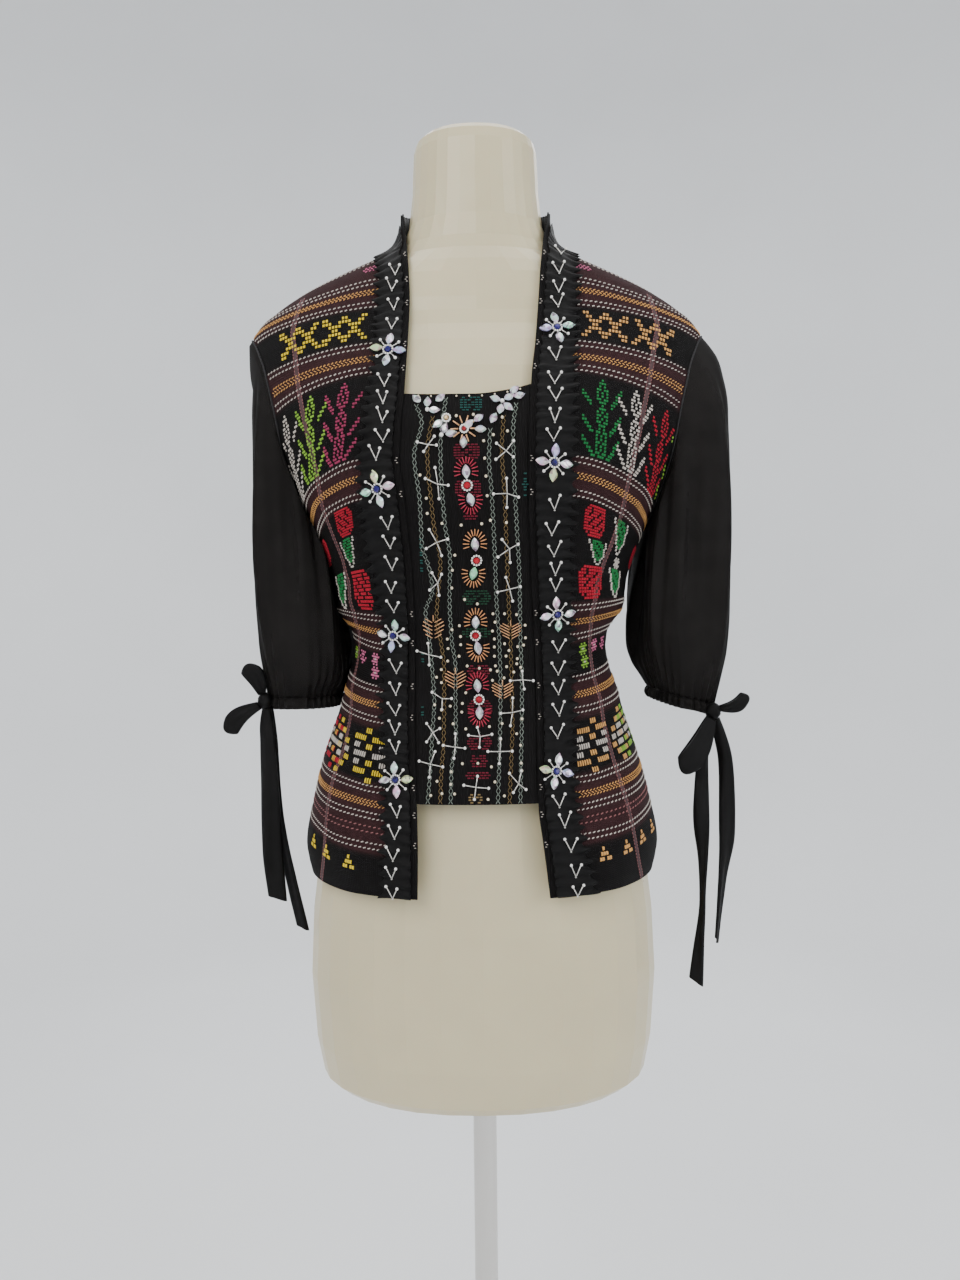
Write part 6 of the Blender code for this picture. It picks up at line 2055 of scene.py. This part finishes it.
class KebayaColours(bpy.types.PropertyGroup):
    black_ground: colour_prop("Black ground", "Ground of the woven cloth", (0.0042, 0.0036, 0.0036))
    maroon_ground: colour_prop("Maroon bands", "Ground of the woven bands", (0.026, 0.010, 0.011))
    satin: colour_prop("Satin", "Ruched ribbon and bows", (0.0028, 0.0025, 0.0025))
    sheer: colour_prop("Sheer cloth", "Sleeves and cuffs", (0.0085, 0.0074, 0.0069))
    form_plastic: colour_prop("Form plastic", "Shell of the dress form", (0.54, 0.47, 0.30))


class KebayaStage(bpy.types.PropertyGroup):
    floor_colour: colour_prop("Floor", "Floor and wall", (0.78, 0.79, 0.80))
    light_power: bpy.props.FloatProperty(
        name="Light power", description="Power of the key light", default=42.0, min=0.0, unit="POWER"
    )
    room_light: bpy.props.FloatProperty(
        name="Room light", description="Strength of the light from all round", default=0.8, min=0.0
    )
    camera_lens: bpy.props.FloatProperty(
        name="Lens", description="Focal length of the camera", default=27.2, min=1.0,
        subtype="DISTANCE_CAMERA",
    )


MADE = {}


def needed(word):
    if word not in MADE:
        raise RuntimeError(f"make the {word} first")
    return MADE[word]


class KEBAYA_OT_cloth(bpy.types.Operator):
    """Make the fronts, the back and the centre panel"""

    bl_idname = "kebaya.cloth"
    bl_label = "Trunk cloth"

    def execute(self, context):
        MADE["cloth"] = make_cloth()
        make_seams()
        return {"FINISHED"}


class KEBAYA_OT_weaving(bpy.types.Operator):
    bl_idname = "kebaya.weaving"
    bl_label = "Raised threads"

    def execute(self, context):
        cloth = needed("cloth")
        woven = [(cloth[word], weave_front(side, cloth[word]), (0.19, 0.60)) for side, word in SIDES]
        woven.append((cloth["back"], weave_back(cloth["back"]), (0.50, 0.58)))
        return {"FINISHED"}


class KEBAYA_OT_ruched_bands(bpy.types.Operator):
    """Gather the ribbons on the fronts' edges and round the nape"""

    bl_idname = "kebaya.ruched_bands"
    bl_label = "Ruched bands"

    def execute(self, context):
        make_ruched_bands()
        return {"FINISHED"}


class KEBAYA_OT_sleeves(bpy.types.Operator):
    """Hang the sleeves and gather their cuffs"""

    bl_idname = "kebaya.sleeves"
    bl_label = "Sleeves and cuffs"

    def execute(self, context):
        make_sleeves()
        return {"FINISHED"}


class KEBAYA_OT_bows(bpy.types.Operator):
    """Tie the bows at the cuffs"""

    bl_idname = "kebaya.bows"
    bl_label = "Bows"

    def execute(self, context):
        make_bows()
        return {"FINISHED"}


class KEBAYA_OT_bead_work(bpy.types.Operator):
    """Sew the sprays and stone flowers on the ribbons, and the centre panel's bead work"""

    bl_idname = "kebaya.bead_work"
    bl_label = "Bead work"

    def execute(self, context):
        grounds = {}
        for _, word in SIDES:
            pieces = [bpy.data.objects[f"{kind}_{word}"] for kind in ("ruched_band", "cloth_front")]
            grounds[word] = Ground(*pieces)
        make_sprays(grounds)
        make_flowers(grounds)
        panel = needed("cloth")["panel"]
        ground = Ground(panel)
        pieces = [make_panel_weave(ground), make_panel_beads(ground)]
        make_neckline_stones(ground)
        return {"FINISHED"}


class KEBAYA_OT_form_and_stand(bpy.types.Operator):
    """Finish the dress form and its stand"""

    bl_idname = "kebaya.form_and_stand"
    bl_label = "Form and stand"

    def execute(self, context):
        dress_form_and_stand()
        return {"FINISHED"}


class KEBAYA_OT_stage(bpy.types.Operator):
    """Set up the floor, the lights and the camera"""

    bl_idname = "kebaya.stage"
    bl_label = "Stage"

    def execute(self, context):
        make_stage()
        return {"FINISHED"}


STEPS = (
    KEBAYA_OT_cloth, KEBAYA_OT_weaving, KEBAYA_OT_ruched_bands, KEBAYA_OT_sleeves, KEBAYA_OT_bows,
    KEBAYA_OT_bead_work, KEBAYA_OT_form_and_stand, KEBAYA_OT_stage,
)


class KEBAYA_PT_looks(bpy.types.Panel):
    """Steps and settings of the kebaya blouse"""

    bl_idname = "KEBAYA_PT_looks"
    bl_label = "Kebaya blouse"
    bl_space_type = "VIEW_3D"
    bl_region_type = "UI"
    bl_category = "Kebaya"

    def draw(self, context):
        for group in (context.scene.kebaya_colours, context.scene.kebaya_stage):
            for key in group.bl_rna.properties.keys():
                if key not in ("rna_type", "name"):
                    self.layout.prop(group, key)
        for step in STEPS:
            self.layout.operator(step.bl_idname)


CLASSES = (KebayaColours, KebayaStage, *STEPS, KEBAYA_PT_looks)


def register():
    for item in CLASSES:
        bpy.utils.register_class(item)
    bpy.types.Scene.kebaya_colours = bpy.props.PointerProperty(type=KebayaColours)
    bpy.types.Scene.kebaya_stage = bpy.props.PointerProperty(type=KebayaStage)


def unregister():
    del bpy.types.Scene.kebaya_stage
    del bpy.types.Scene.kebaya_colours
    for item in reversed(CLASSES):
        bpy.utils.unregister_class(item)


def main():
    register()
    for step in STEPS:
        group, name = step.bl_idname.split(".")
        getattr(getattr(bpy.ops, group), name)()


if __name__ == "__main__":
    main()
